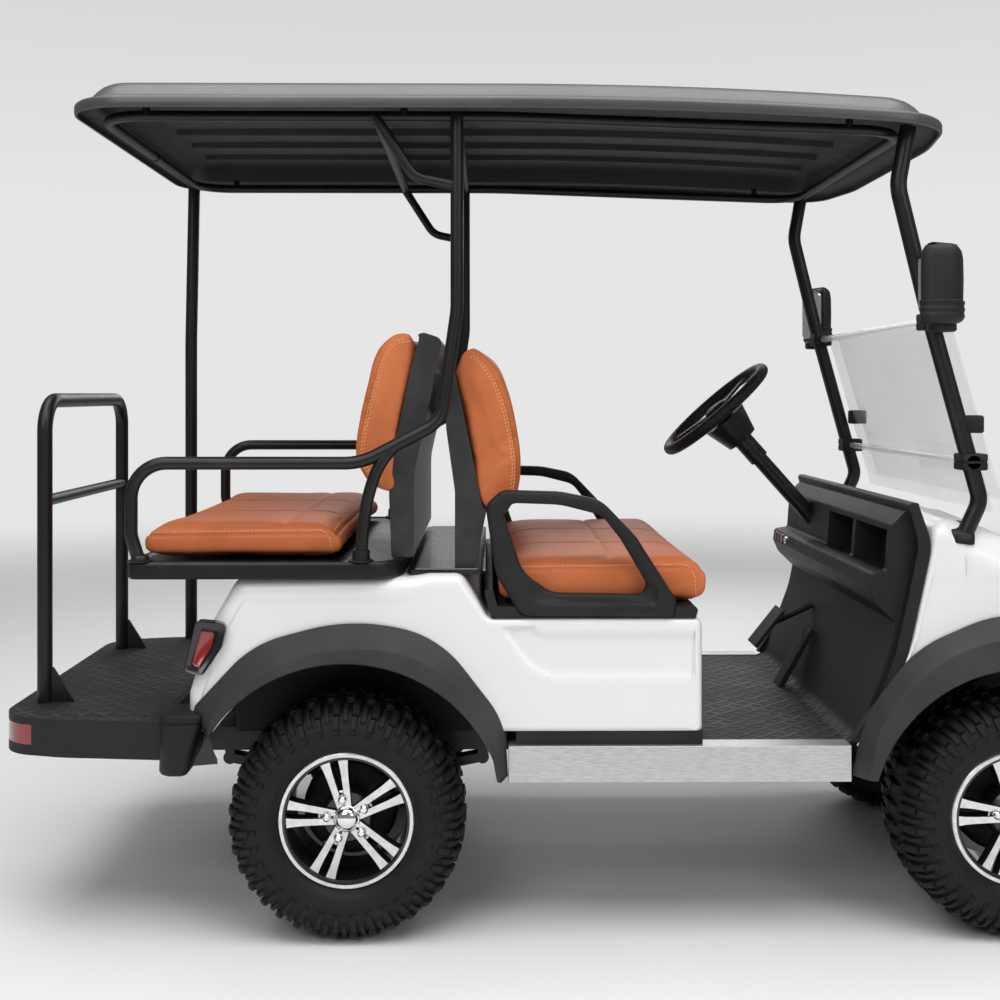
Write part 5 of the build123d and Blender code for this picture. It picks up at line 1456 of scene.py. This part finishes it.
# ---- Cushions --------------------------------------------------------------------------------
FRONT_BACK = (               # front back pad in side view, from its top down the rear edge
    (305, 1443), (270, 1430), (262, 1385), (283, 1280), (305, 1167), (330, 1052), (360, 1028),
    (391, 1026), (413, 1053), (426, 1112), (427, 1166), (415, 1242), (391, 1329), (353, 1404),
)
REAR_BACK = (                # rear back pad, from its top down the edge that faces the rear
    (135, 1481), (97, 1467), (70, 1426), (49, 1361), (30, 1296), (16, 1221), (13, 1177),
    (22, 1139), (43, 1109), (75, 1092), (103, 1085), (119, 1221), (141, 1334), (165, 1442),
    (166, 1474),
)
FRONT_CUSHION = (
    (372, 810.5, 16), (367, 906, 34), (480, 920, 400), (864, 922, 46), (886, 876, 40),
    (880, 810.5, 20),
)
REAR_CUSHION = (
    (-499, 922.5, 18), (-505, 976, 34), (-470, 1008, 40), (-50, 1008, 50), (-12, 966, 34),
    (-16, 922.5, 18),
)


PUFF_FRAMES = 20             # frames of cloth pressure that swell a pad


def slab(line, y0, y1, shrink):
    """A side view drawn in by shrink and carried between two planes, its ends drawn in too."""
    middle = (line.max(axis=0) + line.min(axis=0)) / 2
    reach = (line.max(axis=0) - line.min(axis=0)) / 2
    line = middle + (line - middle) * (1 - shrink / reach)
    ends = np.array([y0 + shrink, y1 - shrink])
    points = np.stack([np.broadcast_to(line[:, 0], (2, len(line))),
                       np.broadcast_to(ends[:, None], (2, len(line))),
                       np.broadcast_to(line[:, 1], (2, len(line)))], axis=-1).reshape(-1, 3)
    faces = quads(2, len(line), close_columns=True).tolist()
    faces += [list(range(len(line))), list(range(len(line), 2 * len(line)))]
    return points, faces


def puffed(name, line, y0, y1, shrink, cap, voxel, crown=0.0):
    """A pad swollen from its slab by cloth pressure, each point moved cap mm at most; then drawn
    out evenly on each axis to the side view's own reach and the two planes."""
    points, faces = slab(line, y0, y1, shrink)
    mesh = bpy.data.meshes.new(name)
    mesh.from_pydata(put(points).tolist(), [], faces)
    made = linked(name, mesh)
    outward(made, 0.01)
    modifier(made, "REMESH", mode="VOXEL", voxel_size=voxel / 1000, use_smooth_shade=True)
    apply_all(made)
    before = vertex_array(made.data)
    cloth = modifier(made, "CLOTH")
    cloth.settings.use_pressure = True
    cloth.settings.uniform_pressure_force = 4.0
    cloth.settings.effector_weights.gravity = 0.0
    cloth.settings.quality = 4
    cloth.point_cache.frame_start = 1
    cloth.point_cache.frame_end = PUFF_FRAMES
    for frame_number in range(1, PUFF_FRAMES + 1):
        SCENE.frame_set(frame_number)
    apply_all(made)
    SCENE.frame_set(1)
    after = vertex_array(made.data)
    move = after - before
    far = np.linalg.norm(move, axis=1, keepdims=True)
    after = before + move * np.minimum(1.0, cap / 1000 / np.maximum(far, 1e-9))
    (x0, z0), (x1, z1) = line.min(axis=0), line.max(axis=0)
    low, high = put(((x0, y0, z0), (x1, y1, z1 + crown)))
    least, most = after.min(axis=0), after.max(axis=0)
    after = low + (after - least) * (high - low) / (most - least)
    made.data.vertices.foreach_set("co", after.reshape(-1))
    modifier(made, "SMOOTH", factor=0.5, iterations=4)
    modifier(made, "SUBSURF", levels=1, render_levels=1)
    apply_all(made)
    return made


def apply_all(made):
    """The object's mesh with its modifiers worked in."""
    graph = bpy.context.evaluated_depsgraph_get()
    graph.update()
    fresh = bpy.data.meshes.new_from_object(made.evaluated_get(graph))
    old = made.data
    made.modifiers.clear()
    made.data = fresh
    bpy.data.meshes.remove(old)


def vertex_array(mesh):
    """A mesh's points as an array."""
    flat = np.empty(len(mesh.vertices) * 3)
    mesh.vertices.foreach_get("co", flat)
    return flat.reshape(-1, 3)


def pressed(made, depth):
    """Points pushed in along their normals by depth(x, y, z, normal), all in mm."""
    mesh = made.data
    points = from_frame(vertex_array(mesh))
    normals = np.empty(len(mesh.vertices) * 3)
    mesh.vertices.foreach_get("normal", normals)
    normals = normals.reshape(-1, 3)
    points = points - normals * depth(*points.T, normals)[:, None]
    mesh.vertices.foreach_set("co", put(points).reshape(-1))
    mesh.update()


def groove(distance, wide):
    """A sewn valley's share of its depth at a distance from the seam."""
    return np.exp(-(distance / wide) ** 2)


STITCH_PITCH = 9.5
STITCH_LENGTH = 6.4
STITCH_R = 1.2
STITCH_ENDS = ((-0.5, 0.35), (-0.36, 1.0), (0.36, 1.0), (0.5, 0.35))     # shares: along, radius


def stitched(name, made, lines, body):
    """Two-thread stitches laid on a pad: each line (points in mm, direction that it faces) is
    dropped on the pad's surface and cut into short thread capsules."""
    tree = BVHTree.FromObject(made, bpy.context.evaluated_depsgraph_get())
    angle = np.linspace(0, 2 * pi, 6, endpoint=False)
    ring = np.stack([np.cos(angle), np.sin(angle)], axis=1)
    parts = []
    for line, facing in lines:
        line = np.asarray(line, float)
        run = lengths_along(line)
        hits = []
        for centre in sampled(line, run, np.arange(STITCH_PITCH / 2, run[-1], STITCH_PITCH)):
            start = Vector(put(centre + np.asarray(facing) * 90).tolist())
            spot, normal, _, _ = tree.ray_cast(start, -Vector(facing), 0.25)
            hits.append((np.full(3, np.nan), np.zeros(3)) if spot is None
                        else (from_frame(spot), np.array(normal)))
        spots = np.array([spot for spot, _ in hits])
        normals = np.array([normal for _, normal in hits])
        good = ~np.isnan(spots[:, 0])
        if good.sum() < 3:
            continue
        spots, normals = spots[good], normals[good]
        leap = np.linalg.norm(np.gradient(spots, axis=0), axis=1)
        ahead = unit(np.gradient(spots, axis=0))
        for spot, normal, along_line, far in zip(spots, normals, ahead, leap):
            if far > STITCH_PITCH * 2.2:
                continue
            side = np.cross(along_line, normal)
            base = spot + normal * 0.25
            path = np.array([base + along_line * s * STITCH_LENGTH for s, _ in STITCH_ENDS])
            profile = np.array([ring * STITCH_R * fat for _, fat in STITCH_ENDS])
            parts.append(swept(path, side, normal, profile))
    return built(name, parts, THREAD, body=body, smooth=60, merge=0.001)


def pad_piece(name, made, body, nodes):
    """A finished pad's leather, body and node."""
    made.data.materials.clear()
    made.data.materials.append(LEATHER)
    made.data.polygons.foreach_set("use_smooth", np.ones(len(made.data.polygons), dtype=bool))
    made.name = name
    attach(made, body)
    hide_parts(*nodes)


CUSHION_END = 515.0
BACK_END = 490.0
PANEL_SEAMS = (-175.0, 175.0)
BACK_CHANNELS = (-330.0, -168.0)


def line_distance(x, z, line):
    """Distance in side view from points to the nearest run of a line."""
    spot = np.stack([x, z], axis=1)[:, None]
    start, run = line[:-1], np.diff(line, axis=0)
    share = ((spot - start) * run).sum(-1) / (run ** 2).sum(-1)
    near = start + np.clip(share, 0, 1)[..., None] * run
    return np.linalg.norm(spot - near, axis=-1).min(axis=1)


def cushion(name, rows, body, node, cross_x):
    """A bench cushion: two fore-and-aft seams and one across on its top, a border seam round
    its edge, and a seam down each side panel's end, with a row of stitches beside it."""
    line = filleted(rows, 6)
    (x0, z0), (x1, z1) = line.min(axis=0), line.max(axis=0)
    made = puffed(name, line, -CUSHION_END, CUSHION_END, 6.0, 16.0, 9.5, crown=3.0)
    tail, tip = x0 + 14, x1 - 24
    border = filleted([(tail, z1 - 30, 0), (tip, z1 - 24, 34), (tip + 8, z0 + 6, 0)], 8,
                      closed=False)
    stitch = filleted([(tail, z1 - 21, 0), (tip - 8, z1 - 15, 36), (tip - 2, z0 + 6, 0)], 8,
                      closed=False)

    def depth(x, y, z, normals):
        top = band(normals[:, 2], 0.35, 0.8)
        inner = band(x, x0 + 30, x0 + 60) * band(x, x1 - 30, x1 - 60) * band(np.abs(y), 490, 460)
        panels = sum(groove(y - at, 4.0) + 0.5 * groove(y - at, 16.0) for at in PANEL_SEAMS)
        panels = panels + groove(x - cross_x, 4.0) + 0.5 * groove(x - cross_x, 16.0)
        side = band(np.abs(normals[:, 1]), 0.25, 0.6)
        edge = side * groove(line_distance(x, z, border), 2.6)
        ends = band(np.abs(normals[:, 0]), 0.25, 0.6) * (1 - side) * groove(z - (z1 - 27), 2.6)
        return top * inner * np.minimum(panels, 1.5) * 4.2 + (edge + ends) * 3.0
    pressed(made, depth)
    pad_piece(f"{name}_leather", made, body, (node,))
    seams = [(np.insert(stitch, 1, side * 490.0, axis=1), (0, side, 0)) for side in (-1, 1)]
    seams.append((((tip, -480, z1 - 18), (tip, 480, z1 - 18)), (1, 0, 0)))
    stitched(f"{name}_stitches", made, seams, body)


def mirrored(made, name):
    """A pad's mirror image across the cart's middle."""
    mesh = made.data.copy()
    points = vertex_array(mesh) * (1, -1, 1)
    mesh.vertices.foreach_set("co", points.reshape(-1))
    mesh.flip_normals()
    return linked(name, mesh)


def ring_run(ring, start, end):
    """The part of a closed line from its point nearest to start on to the one nearest to end."""
    first = np.linalg.norm(ring - start, axis=1).argmin()
    last = np.linalg.norm(ring - end, axis=1).argmin()
    turned_ring = np.roll(ring, -first, axis=0)
    return turned_ring[:(last - first) % len(ring) + 1]


def back_pads(row, rows, face, start, end):
    """The two back pads of a row: smooth oval pads with upright channels on the face, a seam
    and two rows of stitches just inside the face's edge; the left one mirrors the right."""
    ring = smooth_line(rows, 72, closed=True)
    low, high = ring.min(axis=0), ring.max(axis=0)
    made = puffed(f"{row}_back", ring, -BACK_END, -8.0, 5.0, 14.0, 8.4)
    inward = inward_of(ring)
    seam = ring_run(ring + inward * 8, start, end)

    def depth(x, y, z, normals):
        facing = band(normals[:, 0] * face, 0.3, 0.75)
        panel = band(z, low[1] + 40, low[1] + 100) * band(z, high[1] - 30, high[1] - 90)
        sewn = sum(groove(y - at, 5.0) for at in BACK_CHANNELS) * panel
        edge = groove(line_distance(x, z, seam), 2.4) * band(np.abs(normals[:, 1]), 0.2, 0.5)
        return facing * sewn * 4.0 + edge * 2.8
    pressed(made, depth)
    left = mirrored(made, f"{row}_back_left")
    pad_piece(f"{row}_back_leather_right", made, "chassis", ("seat_backs",))
    pad_piece(f"{row}_back_leather_left", left, "chassis", ("seat_backs",))
    seams = [(np.insert(ring_run(ring + inward * inset, start, end), 1, 20.0 - BACK_END, axis=1),
              (0, -1, 0)) for inset in (17.0, 23.0)]
    right_stitches = stitched(f"{row}_back_stitches_right", made, seams, "chassis")
    left_stitches = mirrored(right_stitches, f"{row}_back_stitches_left")
    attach(left_stitches, "chassis")


cushion("front_cushion", FRONT_CUSHION, "front_seat", "front_seat_cushion", 650.0)
cushion("rear_cushion", REAR_CUSHION, "chassis", "rear_seat_cushion", -160.0)
back_pads("front", FRONT_BACK, 1, (391, 1026), (305, 1443))
back_pads("rear", REAR_BACK, -1, (135, 1481), (70, 1092))


# ---- Stage, lamps and camera -----------------------------------------------------------------
AMBIENT = 0.34
WALL_STOPS = (               # (height of the view's direction, colour) of the studio behind
    (0.0, (0.79, 0.79, 0.79)), (0.14, (0.79, 0.79, 0.79)), (0.34, (0.66, 0.66, 0.66)),
)
FLOOR_FADE = (3.2, 11.0)     # where the floor starts and ends to clear, in metres


def floor():
    """A pale disc that fades out to the world's colour with distance from the cart."""
    sides = 96
    angle = np.linspace(0, 2 * pi, sides, endpoint=False)
    rings = np.array([0.0, 1.0, 3.0, 6.0, 12.0, 25.0, 60.0])         # radii in metres
    x = rings[:, None] * np.cos(angle) * 1000 + ORIGIN_X
    y = rings[:, None] * np.sin(angle) * 1000
    points = np.stack([x, y, np.full_like(x, -0.3)], axis=-1).reshape(-1, 3)
    mesh = bpy.data.meshes.new("studio_floor")
    mesh.from_pydata(put(points).tolist(), [], quads(len(rings), sides, close_columns=True).tolist())
    made = linked("studio_floor", mesh)
    p = Paint("studio_floor")
    x, y, _ = p.axes()
    out = (x ** 2 + y ** 2) ** 0.5
    fade = out.step(*FLOOR_FADE)
    mesh.materials.append(p.set(Base_Color=(0.86, 0.86, 0.86), Roughness=0.9,
                                Specular_IOR_Level=0.1))
    p.blended(fade, p.node("ShaderNodeBsdfTransparent"), "Material Output")


def world():
    """Soft ambient light; the camera's own rays, also those through clear pieces, see the pale
    studio instead."""
    p = Paint("studio", bpy.data.worlds, "Background")
    SCENE.world = p.owner
    p.set(Color=(0.62, 0.62, 0.63), Strength=AMBIENT)
    rays = p.node("ShaderNodeLightPath").socket.node.outputs
    seen = Value(p, rays["Is Camera Ray"]).most(Value(p, rays["Is Transmission Ray"]))
    way = p.node("ShaderNodeTexCoord", output="Generated")
    height = p.node("ShaderNodeSeparateXYZ", None, {0: way}, output=2)
    wall = p.node("ShaderNodeValToRGB", {"stops": WALL_STOPS}, {0: height})
    p.blended(seen, p.node("ShaderNodeBackground", None, {0: wall}), "World Output")


def lamp(name, place, aim, size, power):
    """A rectangular area lamp in metres, aimed at a point."""
    data = bpy.data.lights.new(name, "AREA")
    data.shape = "RECTANGLE"
    data.size, data.size_y = size
    data.energy = power
    made = linked(name, data)
    made.location = place
    made.rotation_euler = (Vector(aim) - Vector(place)).to_track_quat("-Z", "Y").to_euler()


LAMPS = (                    # name, place, aim, size in metres, watts
    ("overhead", (0.0, -1.2, 5.0), (0.0, -0.6, 0.0), (6.5, 5.0), 330.0),
    ("key", (-2.6, -5.2, 4.0), (-0.1, 0.0, 0.6), (3.0, 2.0), 72.0),
    ("fill", (3.6, -5.0, 3.2), (0.3, 0.0, 0.6), (2.6, 2.0), 46.0),
    ("rim", (0.5, 5.0, 3.2), (0.0, 0.0, 1.0), (4.5, 2.0), 70.0),
)


def camera():
    """The camera stands level beside the cart and turned half a degree towards its nose."""
    data = bpy.data.cameras.new("view")
    data.sensor_fit = "HORIZONTAL"
    data.sensor_width = 36.0
    data.lens = 45.61
    data.shift_y = -0.106
    data.clip_end = 200.0
    made = linked("view", data)
    made.location = put((344.0, -3638.0, 1328.0))
    made.rotation_euler = (radians(90), 0.0, radians(-0.55))
    SCENE.camera = made


floor()
world()
for settings in LAMPS:
    lamp(*settings)
camera()
SCENE.view_settings.view_transform = "Standard"
